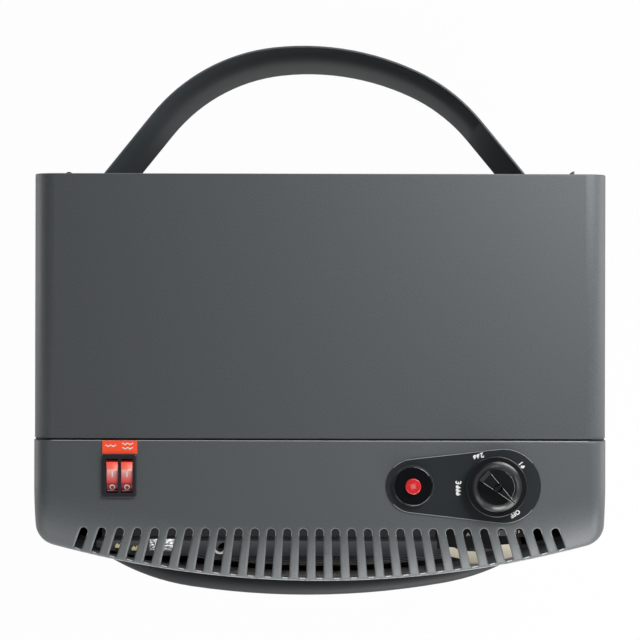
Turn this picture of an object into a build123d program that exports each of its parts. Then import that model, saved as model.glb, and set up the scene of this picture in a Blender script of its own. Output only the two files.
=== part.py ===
from build123d import *
import math
import os

os.makedirs("parts", exist_ok=True)

# Cabinet heater that burns bottled gas and also holds an electric fan heater.
# X runs to the right, Y to the rear, Z up. The origin is on the floor, in the middle of the
# whole outline. Every length is in millimetres.

# Overall sizes
body_width = 424
body_height = 730
cover_depth = 195.5
seam_gap = 1.5
console_depth = 106
console_height = 80
fire_guard_reach = 18
bottle_guard_reach = 108
castor_height = 58
front_bow = 30.3
front_corner = 17
bulkhead_setback = 10
split_height = 300

# Material thicknesses and fits
steel = 1.2
moulding = 2.4
fit_gap = 0.3
running_gap = 0.05
overrun = 5
screw_radius = 2
screw_hole_gap = 0.1
screw_head_radius = 3.6
screw_head_height = 1.8
panel_head_height = 1.2

half_width = body_width / 2
overall_depth = fire_guard_reach + console_depth + seam_gap + cover_depth + bottle_guard_reach
y_front = fire_guard_reach - overall_depth / 2
y_guard = y_front - fire_guard_reach
y_seam = y_front + console_depth
y_cover = y_seam + seam_gap
y_rear = y_cover + cover_depth
y_bay = y_seam - bulkhead_setback
y_bulkhead = y_bay - steel
z_console = body_height - console_height
z_split = split_height
inside_steel = half_width - steel
inside_console = half_width - moulding
bow_radius = (half_width**2 + front_bow**2) / (2 * front_bow)
bow_centre_y = y_front + bow_radius


def write(piece, name):
    """Labels a finished piece and writes it under its own name."""
    piece.part.label = name
    export_step(piece.part, f"parts/{name}.step")


def across(y):
    """A drawing plane that faces the front, at depth y; local x is X and local y is Z."""
    return Plane.XZ.offset(-y)


def bow_y(x, inset=0):
    """Depth of the bowed front at x, with the face drawn in by inset."""
    return bow_centre_y - math.sqrt((bow_radius - inset) ** 2 - x**2)


def front_outline(inset, y_back):
    """Plan of the cabinet's front part: straight sides, rounded corners and a bowed front."""
    side = half_width - inset
    y_corner = bow_y(side, inset)
    with BuildSketch() as plan:
        with BuildLine():
            Line((-side, y_back), (-side, y_corner))
            ThreePointArc((-side, y_corner), (0, bow_y(0, inset)), (side, y_corner))
            Line((side, y_corner), (side, y_back))
            Line((side, y_back), (-side, y_back))
        make_face()
        fillet(plan.vertices().group_by(Axis.Y)[-2], radius=front_corner - inset)
    return plan.sketch


def slab(x_span, y_span, z_span, mode=Mode.ADD):
    """A box between two limits along each axis, in the part that is being built."""
    spans = (x_span, y_span, z_span)
    with Locations(tuple((low + high) / 2 for low, high in spans)):
        Box(*(abs(high - low) for low, high in spans), mode=mode)


def rod(place, direction, radius, length, mode=Mode.ADD):
    """A round bar that starts at place and runs along direction."""
    with Locations(Plane(origin=place, z_dir=direction)):
        Cylinder(radius, length, align=(Align.CENTER, Align.CENTER, Align.MIN), mode=mode)


def side_drill(places, radius):
    """Holes at (y, z) places through both sides of the cabinet."""
    for y, z in places:
        rod((-half_width - overrun, y, z), (1, 0, 0), radius, body_width + 2 * overrun, Mode.SUBTRACT)


def tube(route, bend, radius, bore=0):
    """A round tube or wire along straight runs that are joined by tangent arcs."""
    with BuildPart() as pipe:
        with BuildLine() as path:
            FilletPolyline(*route, radius=bend)
        with BuildSketch(Plane(origin=path.line @ 0, z_dir=path.line % 0)):
            Circle(radius)
            if bore:
                Circle(bore, mode=Mode.SUBTRACT)
        sweep()
    return pipe.part


# Base tray: a pressed pan that the bottle stands on and the castors are screwed to
tray_lip = 18
tray_tail = 30
tray_tail_corner = 40
tray_entry_width = 300
stand_castor_gap = 27
stand_edge_gap = 12
stand_lift = 3
z_tray = castor_height
z_tray_floor = z_tray + steel
z_panel_foot = z_tray + tray_lip + fit_gap
y_tray_rear = y_rear + tray_tail
tray_inset = steel


def tray_outline(inset):
    """Plan of the tray: the bowed front, straight sides and a rounded tail behind the cabinet."""
    with BuildSketch() as plan:
        add(front_outline(inset, y_tray_rear - inset))
        fillet(plan.vertices().group_by(Axis.Y)[-1], radius=tray_tail_corner - inset)
    return plan.sketch


# Places of the four castors and of the screws through their plates
castor_side_inset = 47
castor_front_inset = 56.5
castor_rear_inset = 16.5
castor_screw_pitch = 28
castor_x = half_width - castor_side_inset
castor_y = (y_front + castor_front_inset, y_rear - castor_rear_inset)
castor_places = [(x, y) for x in (-castor_x, castor_x) for y in castor_y]


def castor_screw_discs(radius):
    """Discs at every screw of the castor plates."""
    with BuildSketch() as discs:
        with Locations(*castor_places):
            with GridLocations(castor_screw_pitch, castor_screw_pitch, 2, 2):
                Circle(radius)
    return discs.sketch


# Places of the screws through the side panels, as (y, z)
screw_edge = 5
tray_screw_lift = 12
tray_screw_front_inset = 40
tray_screw_rear_inset = 30
flange_screw_margin = 40
foot_screw_lift = 60
z_flange_screws = (z_console - flange_screw_margin, z_split + flange_screw_margin,
                   z_split - flange_screw_margin, z_tray + foot_screw_lift)
tray_screws = [(y, z_tray + tray_screw_lift)
               for y in (y_cover + tray_screw_front_inset, y_rear - tray_screw_rear_inset)]
front_screws = [(y_seam - screw_edge, z) for z in z_flange_screws]
casing_screws = [(y_cover + screw_edge, z) for z in z_flange_screws]

with BuildPart() as base_tray:
    with BuildSketch(Plane.XY.offset(z_tray)):
        add(tray_outline(tray_inset))
    extrude(amount=tray_lip)
    with BuildSketch(Plane.XY.offset(z_tray_floor)):
        add(tray_outline(tray_inset + steel))
    extrude(amount=tray_lip, mode=Mode.SUBTRACT)
    with BuildSketch(Plane.XY.offset(z_tray_floor)):
        with Locations((0, y_tray_rear)):
            Rectangle(tray_entry_width, 2 * (tray_inset + steel) + overrun)
    extrude(amount=tray_lip, mode=Mode.SUBTRACT)
    stand_side = castor_x - stand_castor_gap
    stand_back = y_rear - stand_edge_gap
    stand_front = y_bay + stand_edge_gap
    slab((-stand_side, stand_side), (stand_front, stand_back), (z_tray, z_tray_floor + stand_lift))
    slab((steel - stand_side, stand_side - steel), (stand_front + steel, stand_back - steel),
         (z_tray, z_tray + stand_lift), Mode.SUBTRACT)
    side_drill(tray_screws, screw_radius + screw_hole_gap)
    add(castor_screw_discs(screw_radius + screw_hole_gap))
    extrude(amount=z_tray_floor + overrun, mode=Mode.SUBTRACT)
write(base_tray, "base_tray")

# Rear casing: top and both sides folded from one sheet, with a turned-in flange at the back
casing_roll = 16
rear_flange = 26
top_flange = 24
flange_fold = 1
casing_skirt = 2
z_casing = z_tray + casing_skirt
bay_half_width = half_width - rear_flange
z_bay_top = body_height - top_flange


def casing_profile(inset, z_low):
    """The casing seen from the front, drawn in by inset and cut off at z_low."""
    z_high = body_height - inset
    with BuildSketch() as profile:
        with Locations((0, (z_low + z_high) / 2)):
            Rectangle(body_width - 2 * inset, z_high - z_low)
        fillet(profile.vertices().group_by(Axis.Y)[-1], radius=casing_roll - inset)
    return profile.sketch


with BuildPart() as rear_casing:
    with BuildSketch(across(y_cover)):
        add(casing_profile(0, z_casing))
    extrude(amount=-cover_depth)
    rear_rim = rear_casing.faces().sort_by(Axis.Y)[-1].edges().filter_by_position(
        Axis.Z, z_casing + overrun, body_height)
    fillet(rear_rim, radius=flange_fold)
    with BuildSketch(across(y_cover - overrun)):
        add(casing_profile(steel, z_casing - overrun))
    extrude(amount=-(cover_depth + overrun - steel), mode=Mode.SUBTRACT)
    with BuildSketch(across(y_rear - steel - overrun)):
        with Locations((0, (z_casing - overrun + z_bay_top) / 2)):
            Rectangle(2 * bay_half_width, z_bay_top - z_casing + overrun)
    extrude(amount=-(steel + 2 * overrun), mode=Mode.SUBTRACT)
    slab((-inside_steel, inside_steel), (y_cover, y_rear + overrun), (z_tray, z_panel_foot), Mode.SUBTRACT)
    side_drill(tray_screws + casing_screws, screw_radius + screw_hole_gap)
write(rear_casing, "rear_casing")

# Front console: a moulded top with bowed front, radial warm-air slots and the controls
console_rim = 12
roll_start = 44
roll_radius = 60
slot_count = 29
slot_angle = 1.576
slot_width = 6
slot_start = 41
slot_fan_radius = 428
slot_drop = 30
slot_rim = 3.2
slot_length = slot_start + front_bow
steep_share = 0.9
switch_side_inset = 64.5
switch_setback = 26.4
switch_cut_width = 22
switch_cut_length = 30
knob_side_inset = 81.5
controls_setback = 33.4
piezo_spacing = 61.5
switch_x = switch_side_inset - half_width
switch_y = y_seam - switch_setback
knob_x = half_width - knob_side_inset
piezo_x = knob_x - piezo_spacing
controls_y = y_seam - controls_setback
neck_radius = 7
piezo_neck_radius = 9
neck_gap = 0.4
z_console_inside = body_height - moulding


def console_block(inset, z_low, y_back):
    """The console as a solid block with its rolled front edge, drawn in by inset."""
    z_high = body_height - inset
    side = half_width - inset
    reach = bow_radius - roll_start
    radial = Plane(origin=(0, bow_centre_y, 0), x_dir=(1, 0, 0), z_dir=(0, -1, 0))
    with BuildPart() as block:
        with BuildSketch(Plane.XY.offset(z_low)):
            add(front_outline(inset, y_back))
        extrude(amount=z_high - z_low)
        with BuildSketch(radial):
            with BuildLine():
                roll = CenterArc((reach, z_high - roll_radius + inset), roll_radius - inset, 90, -60)
                Line(roll @ 1, ((roll @ 1).X, z_high + overrun))
                Line(((roll @ 1).X, z_high + overrun), (reach, z_high + overrun))
                Line((reach, z_high + overrun), (reach, z_high))
            make_face()
        revolve(axis=Axis((0, bow_centre_y, 0), (0, 0, 1)), mode=Mode.SUBTRACT)
        rim = ShapeList(
            edge for edge in block.edges()
            if (edge @ 0.5).Z > z_high - roll_radius / 2
            and abs((edge % 0.5).Z) < steep_share
            and (
                abs((edge @ 0.5).X) > side - front_corner
                or math.hypot((edge @ 0.5).X, (edge @ 0.5).Y - bow_centre_y) > bow_radius - inset - seam_gap
            )
        )
        fillet(rim, radius=console_rim - inset)
    return block.part


with BuildPart() as front_console:
    add(console_block(0, z_console, y_seam))
    add(console_block(moulding, z_console - overrun, y_seam + overrun), mode=Mode.SUBTRACT)
    with BuildSketch(Plane.XY.offset(body_height)):
        for number in range(slot_count):
            lean = math.radians((number - (slot_count - 1) / 2) * slot_angle)
            rear_end = (slot_fan_radius * math.tan(lean), y_front + slot_start)
            middle = (rear_end[0] + math.sin(lean) * slot_length / 2,
                      rear_end[1] - math.cos(lean) * slot_length / 2)
            with Locations(middle):
                SlotOverall(slot_length, slot_width, rotation=math.degrees(lean) - 90)
        add(front_outline(slot_rim, y_seam), mode=Mode.INTERSECT)
    extrude(amount=-slot_drop, mode=Mode.SUBTRACT)
    slab((switch_x - switch_cut_width / 2, switch_x + switch_cut_width / 2),
         (switch_y - switch_cut_length / 2, switch_y + switch_cut_length / 2),
         (z_console_inside - overrun, body_height + overrun), Mode.SUBTRACT)
    for hole_x, hole_radius in ((knob_x, neck_radius), (piezo_x, piezo_neck_radius)):
        rod((hole_x, controls_y, z_console_inside - overrun), (0, 0, 1), hole_radius + neck_gap,
            moulding + 2 * overrun, Mode.SUBTRACT)
write(front_console, "front_console")

# Front fascia and lower front panel: bowed steel skins with a turned-in top edge
skin_return = 6


def front_skin(z_low, z_high):
    """A bowed sheet-metal front between two heights, open at the back and at the bottom."""
    with BuildPart() as skin:
        with BuildSketch(Plane.XY.offset(z_low)):
            add(front_outline(0, y_seam))
        extrude(amount=z_high - z_low)
        with BuildSketch(Plane.XY.offset(z_low - overrun)):
            add(front_outline(steel, y_seam + overrun))
        extrude(amount=z_high - z_low + overrun - steel, mode=Mode.SUBTRACT)
        with BuildSketch(Plane.XY.offset(z_low)):
            add(front_outline(skin_return, y_bulkhead))
        extrude(amount=z_high - z_low, mode=Mode.SUBTRACT)
        slab((-inside_steel, inside_steel), (y_bulkhead - fit_gap, y_seam + overrun),
             (z_low, z_high + overrun), Mode.SUBTRACT)
        side_drill([(y, z) for y, z in front_screws if z_low < z < z_high], screw_radius + screw_hole_gap)
    return skin.part


fascia_half_opening = 156
opening_lift = 22
opening_drop = 18
opening_corner = 8
z_opening = (z_split + opening_lift, z_console - opening_drop)

with BuildPart() as front_fascia:
    add(front_skin(z_split, z_console))
    with BuildSketch(across(y_front - overrun)):
        with Locations((0, sum(z_opening) / 2)):
            RectangleRounded(2 * fascia_half_opening, z_opening[1] - z_opening[0], opening_corner)
    extrude(amount=-(front_bow + overrun), mode=Mode.SUBTRACT)
write(front_fascia, "front_fascia")

louvre_length = 96
louvre_height = 5
louvre_pitch = 9
louvre_rows = 7
louvre_column_pitch = 106
blower_drop = 78
louvre_drop = 37
z_blower = z_split - blower_drop
z_louvres = z_blower - louvre_drop

with BuildPart() as lower_front_panel:
    add(front_skin(z_casing, z_split))
    with BuildSketch(across(y_front - overrun)):
        with Locations((0, z_louvres)):
            with GridLocations(louvre_column_pitch, louvre_pitch, 2, louvre_rows):
                SlotOverall(louvre_length, louvre_height)
    extrude(amount=-(front_bow + overrun), mode=Mode.SUBTRACT)
write(lower_front_panel, "lower_front_panel")

# Fire guard: a bulging louvred cage in front of the burner. It hangs slightly askew, so its foremost
# point is left of the middle and its two halves differ.
guard_lift = 6
guard_drop = 4
guard_apex_x = -12
guard_bow_radius = 607
guard_bow_angles = (-8.4, 10.2)
guard_corner_radius = 172
guard_corner_angles = (-30, 26)
guard_steel = 1.5
guard_rim = 10
guard_pitch = 15
guard_slot_height = 9.5
guard_slot_length = 90
guard_column_pitch = 98
guard_middle_x = -9
z_guard = (z_split + guard_lift, z_console - guard_drop)
guard_rows = int((z_guard[1] - z_guard[0] - 2 * guard_rim) / guard_pitch)


def guard_block(inset):
    """The guard as a solid bulge with rounded rims, drawn in by inset; its back runs into the cabinet."""
    with BuildPart() as bulge:
        with BuildSketch(Plane.XY.offset(z_guard[0] + inset)):
            with BuildLine():
                for side, bow_angle, corner_angle in zip((-1, 1), guard_bow_angles, guard_corner_angles):
                    middle = JernArc((guard_apex_x, y_guard + inset), (side, 0), guard_bow_radius - inset,
                                     bow_angle)
                    corner = JernArc(middle @ 1, middle % 1, guard_corner_radius - inset, corner_angle)
                    back = Line(corner @ 1, ((corner @ 1).X, y_bulkhead))
                    Line(back @ 1, (guard_apex_x, y_bulkhead))
            make_face()
        extrude(amount=z_guard[1] - z_guard[0] - 2 * inset)
        fillet(bulge.faces().filter_by(Axis.Z).edges().filter_by(
            lambda edge: (edge @ 0).Y < y_front + front_bow and (edge @ 1).Y < y_front + front_bow),
            radius=guard_rim - inset)
    return bulge.part


with BuildPart() as fire_guard:
    add(guard_block(0))
    add(guard_block(guard_steel), mode=Mode.SUBTRACT)
    with BuildSketch(Plane.XY.offset(z_guard[0] - overrun)):
        add(front_outline(0, y_seam))
    extrude(amount=z_guard[1] - z_guard[0] + 2 * overrun, mode=Mode.SUBTRACT)
    for row in range(guard_rows):
        z_row = sum(z_guard) / 2 + (row - (guard_rows - 1) / 2) * guard_pitch
        for column in (-1, 0, 1):
            slot_x = guard_middle_x + column * guard_column_pitch
            slab((slot_x - guard_slot_length / 2, slot_x + guard_slot_length / 2),
                 (y_guard - overrun, y_front + front_bow),
                 (z_row - guard_slot_height / 2, z_row + guard_slot_height / 2), Mode.SUBTRACT)
write(fire_guard, "fire_guard")

# Bulkhead: the partition between the front parts and the bottle bay
bulkhead_flange = 21
bulkhead_corner = 12
foot_half_width = inside_steel - steel - fit_gap
inlet_lift = 40
inlet_radius = 6
gland_side_inset = 40
gland_lift = 42
gland_thread_radius = 6
intake_slot_length = 40
intake_slot_height = 5
intake_rise = 3
inlet_place = (knob_x, z_console + inlet_lift)
gland_place = (gland_side_inset - half_width, z_tray + gland_lift)

with BuildPart() as bulkhead:
    slab((-foot_half_width, foot_half_width), (y_bulkhead, y_bay), (z_tray_floor, z_console))
    slab((-inside_steel, inside_steel), (y_bulkhead, y_bay), (z_panel_foot, z_console))
    with BuildSketch(across(y_bulkhead)) as upper_panel:
        with Locations((0, (z_console + z_console_inside) / 2)):
            Rectangle(2 * inside_console, z_console_inside - z_console)
        fillet(upper_panel.vertices().group_by(Axis.Y)[-1], radius=bulkhead_corner)
    extrude(amount=-steel)
    for side in (-1, 1):
        slab((side * (inside_steel - steel), side * inside_steel), (y_bay, y_bay + bulkhead_flange),
             (z_panel_foot, z_console))
    for (hole_x, hole_z), hole_radius in ((inlet_place, inlet_radius), (gland_place, gland_thread_radius)):
        rod((hole_x, y_bulkhead - overrun, hole_z), (0, 1, 0), hole_radius, steel + 2 * overrun,
            Mode.SUBTRACT)
    with BuildSketch(across(y_bulkhead - overrun)):
        with Locations((0, z_blower + intake_rise)):
            with GridLocations(louvre_length / 2, louvre_pitch, 4, louvre_rows):
                SlotOverall(intake_slot_length, intake_slot_height)
    extrude(amount=-(steel + 2 * overrun), mode=Mode.SUBTRACT)
    side_drill(front_screws + casing_screws, screw_radius + screw_hole_gap)
write(bulkhead, "bulkhead")

# Heat deflector: keeps the burner's heat away from the controls and sends it up through the slots
deflector_left_overhang = 20.5
deflector_right_overhang = 19
deflector_web_inset = 27.3
deflector_lip_inset = 17.5
deflector_lift = 2
deflector_rise = 45
deflector_hole_x = -72
deflector_hole_radius = 5
deflector_span = (switch_x - deflector_left_overhang, piezo_x + deflector_right_overhang)
y_deflector_web = y_front + deflector_web_inset
y_deflector_lip = y_front + deflector_lip_inset
z_deflector = z_console + deflector_lift
z_deflector_top = z_console + deflector_rise

with BuildPart() as heat_deflector:
    slab(deflector_span, (y_deflector_web, y_bulkhead), (z_deflector, z_deflector + steel))
    slab(deflector_span, (y_deflector_web, y_deflector_web + steel), (z_deflector, z_deflector_top))
    slab(deflector_span, (y_deflector_lip, y_deflector_web + steel),
         (z_deflector_top - steel, z_deflector_top))
    with BuildSketch(Plane.XY.offset(z_deflector)):
        add(front_outline(2 * moulding, y_seam))
    extrude(amount=z_deflector_top - z_deflector, mode=Mode.INTERSECT)
    rod((deflector_hole_x, (y_deflector_lip + y_deflector_web) / 2, z_deflector + 2 * steel), (0, 0, 1),
        deflector_hole_radius, console_height, Mode.SUBTRACT)
write(heat_deflector, "heat_deflector")

# Dial plate: a thin printed plate under the knob and the piezo button
dial_thickness = 0.8
dial_offset = 5.3
dial_big_radius = 27.6
dial_small_radius = 20
z_dial = body_height + dial_thickness

with BuildPart() as dial_plate:
    with BuildSketch(Plane.XY.offset(body_height)):
        with Locations((knob_x + dial_offset, controls_y)):
            Circle(dial_big_radius)
        with Locations((piezo_x, controls_y)):
            Circle(dial_small_radius)
        make_hull()
        with Locations((knob_x, controls_y)):
            Circle(neck_radius + neck_gap, mode=Mode.SUBTRACT)
        with Locations((piezo_x, controls_y)):
            Circle(piezo_neck_radius + neck_gap, mode=Mode.SUBTRACT)
    extrude(amount=dial_thickness)
write(dial_plate, "dial_plate")

# Heat label: a thin plate beside the switch, from the seam forward
label_length = 25.7
label_depth = 9.8
label_thickness = 0.4

with BuildPart() as heat_label:
    slab((switch_x - label_length / 2, switch_x + label_length / 2),
         (y_seam - fit_gap - label_depth, y_seam - fit_gap), (body_height, body_height + label_thickness))
write(heat_label, "heat_label")

# Gas valve: a block with a neck through the console, a turning stem and an inlet at the back
valve_half_width = 20.5
valve_half_depth = 15
valve_lift = 14
valve_height = 56
valve_edge = 3
neck_rise = 0.4
inlet_boss_radius = 7
stem_radius = 3
stem_lift = 50
stem_length = 50
stem_chamfer = 0.6
valve_span = (knob_x - valve_half_width, knob_x + valve_half_width)
valve_z = (z_console + valve_lift, z_console + valve_lift + valve_height)
z_neck = z_dial + neck_rise
z_stem = (z_console + stem_lift, z_console + stem_lift + stem_length)

with BuildPart() as gas_valve:
    slab(valve_span, (controls_y - valve_half_depth, controls_y + valve_half_depth), valve_z)
    fillet(gas_valve.edges(), radius=valve_edge)
    rod((knob_x, controls_y, valve_z[1] - valve_edge), (0, 0, 1), neck_radius,
        z_neck - valve_z[1] + valve_edge)
    rod((inlet_place[0], controls_y, inlet_place[1]), (0, 1, 0), inlet_boss_radius, y_bulkhead - controls_y)
    rod((knob_x, controls_y, z_stem[0]), (0, 0, 1), stem_radius + running_gap, z_stem[1] - z_stem[0],
        Mode.SUBTRACT)
write(gas_valve, "gas_valve")

with BuildPart() as valve_stem:
    rod((knob_x, controls_y, z_stem[0] + running_gap), (0, 0, 1), stem_radius, stem_length)
    chamfer(valve_stem.faces().sort_by(Axis.Z)[-1].edges(), length=stem_chamfer)
write(valve_stem, "valve_stem")

# Control knob: a dished skirt, a hub and a wedge-shaped grip, pushed down before it turns
knob_push = 4
knob_float = 0.8
skirt_radius = 22.4
skirt_height = 3
skirt_round = 0.8
dish_radius = 18.5
dish_sagitta = 0.8
hub_radius = 13
hub_height = 9
grip_height = 17
grip_width = 10.1
grip_tail = 14
grip_tip = 16.8
grip_tip_width = 1.2
grip_tail_slope = 3
grip_edge = 0.4
knob_cup_radius = 9
knob_off_angle = -42
z_knob = z_dial + knob_push + knob_float

with BuildPart() as control_knob:
    with BuildSketch(across(controls_y)):
        with BuildLine():
            base = Line((knob_x, z_knob), (knob_x + skirt_radius, z_knob))
            rim = Line(base @ 1, (knob_x + skirt_radius, z_knob + skirt_height - skirt_round))
            edge = JernArc(rim @ 1, (0, 1), skirt_round, 90)
            flat = Line(edge @ 1, (knob_x + dish_radius, z_knob + skirt_height))
            dish = SagittaArc(flat @ 1, (knob_x + hub_radius, z_knob + hub_height), dish_sagitta)
            crown = Line(dish @ 1, (knob_x, z_knob + hub_height))
            Line(crown @ 1, base @ 0)
        make_face()
    revolve(axis=Axis((knob_x, controls_y, 0), (0, 0, 1)))
    grip_plane = Plane(origin=(knob_x, controls_y, z_knob + skirt_height),
                       x_dir=Vector(1, 0, 0).rotate(Axis.Z, knob_off_angle), z_dir=(0, 0, 1))
    with BuildSketch(grip_plane):
        with BuildLine():
            Polyline((-grip_tail, -grip_width / 2), (grip_tip, -grip_tip_width / 2),
                     (grip_tip, grip_tip_width / 2), (-grip_tail, grip_width / 2), close=True)
        make_face()
    extrude(amount=grip_height - skirt_height)
    top_edges = control_knob.faces().sort_by(Axis.Z)[-1].edges()
    chamfer(top_edges.sort_by(Axis(grip_plane.origin, grip_plane.x_dir))[0], length=grip_tail_slope)
    fillet(control_knob.faces().sort_by(Axis.Z)[-1].edges(), radius=grip_edge)
    rod((knob_x, controls_y, z_knob), (0, 0, 1), knob_cup_radius, skirt_height, Mode.SUBTRACT)
    rod((knob_x, controls_y, z_knob), (0, 0, 1), stem_radius + running_gap,
        z_stem[1] - z_knob + knob_push + fit_gap, Mode.SUBTRACT)
write(control_knob, "control_knob")

# Piezo igniter: collar, sprung button and the body below the console
piezo_push = 5
collar_radius = 14.8
collar_height = 3.5
collar_round = 1.5
button_radius = 5.8
button_gap = 0.1
button_height = 7
button_edge = 1
piezo_neck_lift = 62
piezo_body_height = 30
piezo_body_radius = 9
z_piezo_neck = z_console + piezo_neck_lift
z_piezo_body = z_piezo_neck - piezo_body_height

with BuildPart() as piezo_collar:
    rod((piezo_x, controls_y, z_dial), (0, 0, 1), collar_radius, collar_height)
    fillet(piezo_collar.faces().sort_by(Axis.Z)[-1].edges(), radius=collar_round)
    rod((piezo_x, controls_y, z_piezo_neck), (0, 0, 1), piezo_neck_radius, z_dial - z_piezo_neck)
    rod((piezo_x, controls_y, z_piezo_neck), (0, 0, 1), button_radius + button_gap,
        z_dial + collar_height - z_piezo_neck, Mode.SUBTRACT)
write(piezo_collar, "piezo_collar")

with BuildPart() as piezo_button:
    rod((piezo_x, controls_y, z_piezo_neck + piezo_push + fit_gap), (0, 0, 1), button_radius,
        body_height + button_height - z_piezo_neck - piezo_push)
    fillet(piezo_button.faces().sort_by(Axis.Z)[-1].edges(), radius=button_edge)
write(piezo_button, "piezo_button")

with BuildPart() as piezo_body:
    rod((piezo_x, controls_y, z_piezo_body), (0, 0, 1), piezo_body_radius, piezo_body_height)
    chamfer(piezo_body.faces().sort_by(Axis.Z)[0].edges(), length=button_edge)
write(piezo_body, "piezo_body")

# Twin rocker switch: housing in its cut-out, two rockers on trunnions, terminals below
bezel_width = 25
bezel_length = 32
bezel_height = 2
bezel_edge = 0.8
housing_width = 21.6
housing_length = 29.6
housing_floor = 3
housing_depth = 26
rocker_offset = 5.4
rocker_width = 8.3
rocker_length = 24
rocker_well_gap = 0.5
rocker_side_gap = 0.15
rocker_tilt = 9
rocker_depth = 10
rocker_axis_drop = 3
rocker_outline_shares = ((0.95, 0.53), (0.37, 0.32), (-0.46, 0.48), (-0.95, 0.3), (-1, 0), (0, -1), (1, 0))
trunnion_radius = 1.2
trunnion_reach = 1
terminal_size = (0.8, 4.8, 8)
terminal_spacing = 9
z_housing = body_height - housing_depth
z_rocker_axis = body_height - rocker_axis_drop

with BuildPart() as switch_housing:
    slab((switch_x - bezel_width / 2, switch_x + bezel_width / 2),
         (switch_y - bezel_length / 2, switch_y + bezel_length / 2),
         (body_height, body_height + bezel_height))
    fillet(switch_housing.edges().filter_by(Axis.Z), radius=bezel_height)
    fillet(switch_housing.faces().sort_by(Axis.Z)[-1].edges(), radius=bezel_edge)
    slab((switch_x - housing_width / 2, switch_x + housing_width / 2),
         (switch_y - housing_length / 2, switch_y + housing_length / 2), (z_housing, body_height))
    for side in (-1, 1):
        well_x = switch_x + side * rocker_offset
        slab((well_x - rocker_width / 2 - rocker_side_gap, well_x + rocker_width / 2 + rocker_side_gap),
             (switch_y - rocker_length / 2 - rocker_well_gap, switch_y + rocker_length / 2 + rocker_well_gap),
             (z_housing + housing_floor, body_height + bezel_height), Mode.SUBTRACT)
    rod((switch_x - housing_width / 2, switch_y, z_rocker_axis), (1, 0, 0),
        trunnion_radius + running_gap, housing_width, Mode.SUBTRACT)
write(switch_housing, "switch_housing")

for side, rocker_name in ((-1, "rocker_left"), (1, "rocker_right")):
    rocker_x = switch_x + side * rocker_offset
    rocker_plane = Plane(origin=(rocker_x - rocker_width / 2, switch_y, z_rocker_axis),
                         x_dir=Vector(0, 1, 0).rotate(Axis.X, rocker_tilt), z_dir=(1, 0, 0))
    with BuildPart() as rocker:
        with BuildSketch(rocker_plane):
            with BuildLine():
                Polyline(*((along * rocker_length / 2, up * rocker_depth)
                           for along, up in rocker_outline_shares), close=True)
            make_face()
        extrude(amount=rocker_width)
        rod((rocker_x - rocker_width / 2 - trunnion_reach, switch_y, z_rocker_axis), (1, 0, 0),
            trunnion_radius, rocker_width + 2 * trunnion_reach)
    write(rocker, rocker_name)

with BuildPart() as switch_terminals:
    with Locations((switch_x, switch_y, z_housing)):
        with GridLocations(2 * rocker_offset, terminal_spacing, 2, 3):
            Box(*terminal_size, align=(Align.CENTER, Align.CENTER, Align.MAX))
write(switch_terminals, "switch_terminals")

# Reflector: a sheet-metal frustum round the burners, with a window for each burner
reflector_sheet = 0.8
burner_pitch = 96
burner_width = 92
burner_height = 190
burner_depth = 30
burner_sheet = 1.2
burner_standoff = 9.2
plaque_depth = 12
plaque_height = 93
plaque_width = 89
plaque_seat = 5
reflector_back_margin = (4, 20)
reflector_mouth_margin = (1, 4)
window_trim = 4
pilot_reach = 8
pilot_place = (40, 48, 56)
bracket_drop = 10
lead_drop = 5.5
lead_hole_radius = 2
burner_x = (-burner_pitch, 0, burner_pitch)
burner_y = y_bulkhead - burner_standoff - burner_depth
z_reflector = sum(z_opening) / 2
z_burner = z_reflector - burner_height / 2
reflector_back = (2 * burner_pitch + burner_width + 2 * reflector_back_margin[0],
                  burner_height + 2 * reflector_back_margin[1])
reflector_mouth = (2 * (fascia_half_opening + reflector_mouth_margin[0]),
                   z_opening[1] - z_opening[0] + 2 * reflector_mouth_margin[1])
reflector_y = (burner_y - reflector_sheet, bow_y(reflector_mouth[0] / 2, steel) + fit_gap)
pilot_y = reflector_y[0] - pilot_reach
bracket_z = z_burner - bracket_drop
z_pilot_lead = bracket_z - lead_drop


def frustum(trim, back_overrun, front_overrun):
    """The reflector's shape as a solid, drawn in by trim; both ends can run past their planes."""
    with BuildPart() as funnel:
        for y, size in ((reflector_y[0] + back_overrun, reflector_back),
                        (reflector_y[1] - front_overrun, reflector_mouth)):
            with BuildSketch(across(y)):
                with Locations((0, z_reflector)):
                    Rectangle(size[0] - 2 * trim, size[1] - 2 * trim)
        loft()
    return funnel.part


with BuildPart() as reflector:
    add(frustum(0, reflector_sheet, 0))
    add(frustum(reflector_sheet, 0, fit_gap), mode=Mode.SUBTRACT)
    for x in burner_x:
        slab((x - burner_width / 2 + window_trim, x + burner_width / 2 - window_trim),
             (reflector_y[0] - overrun, burner_y + overrun),
             (z_burner + window_trim, z_burner + burner_height - window_trim), Mode.SUBTRACT)
    for x in pilot_place:
        rod((x, reflector_y[0] - overrun, z_pilot_lead), (0, 1, 0), lead_hole_radius, 2 * overrun,
            Mode.SUBTRACT)
write(reflector, "reflector")

# Burners: three pressed boxes, each with a venturi tube below and two ceramic plaques in front
venturi_radius = 11
venturi_length = 44
venturi_y = burner_y + burner_depth / 2

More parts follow.
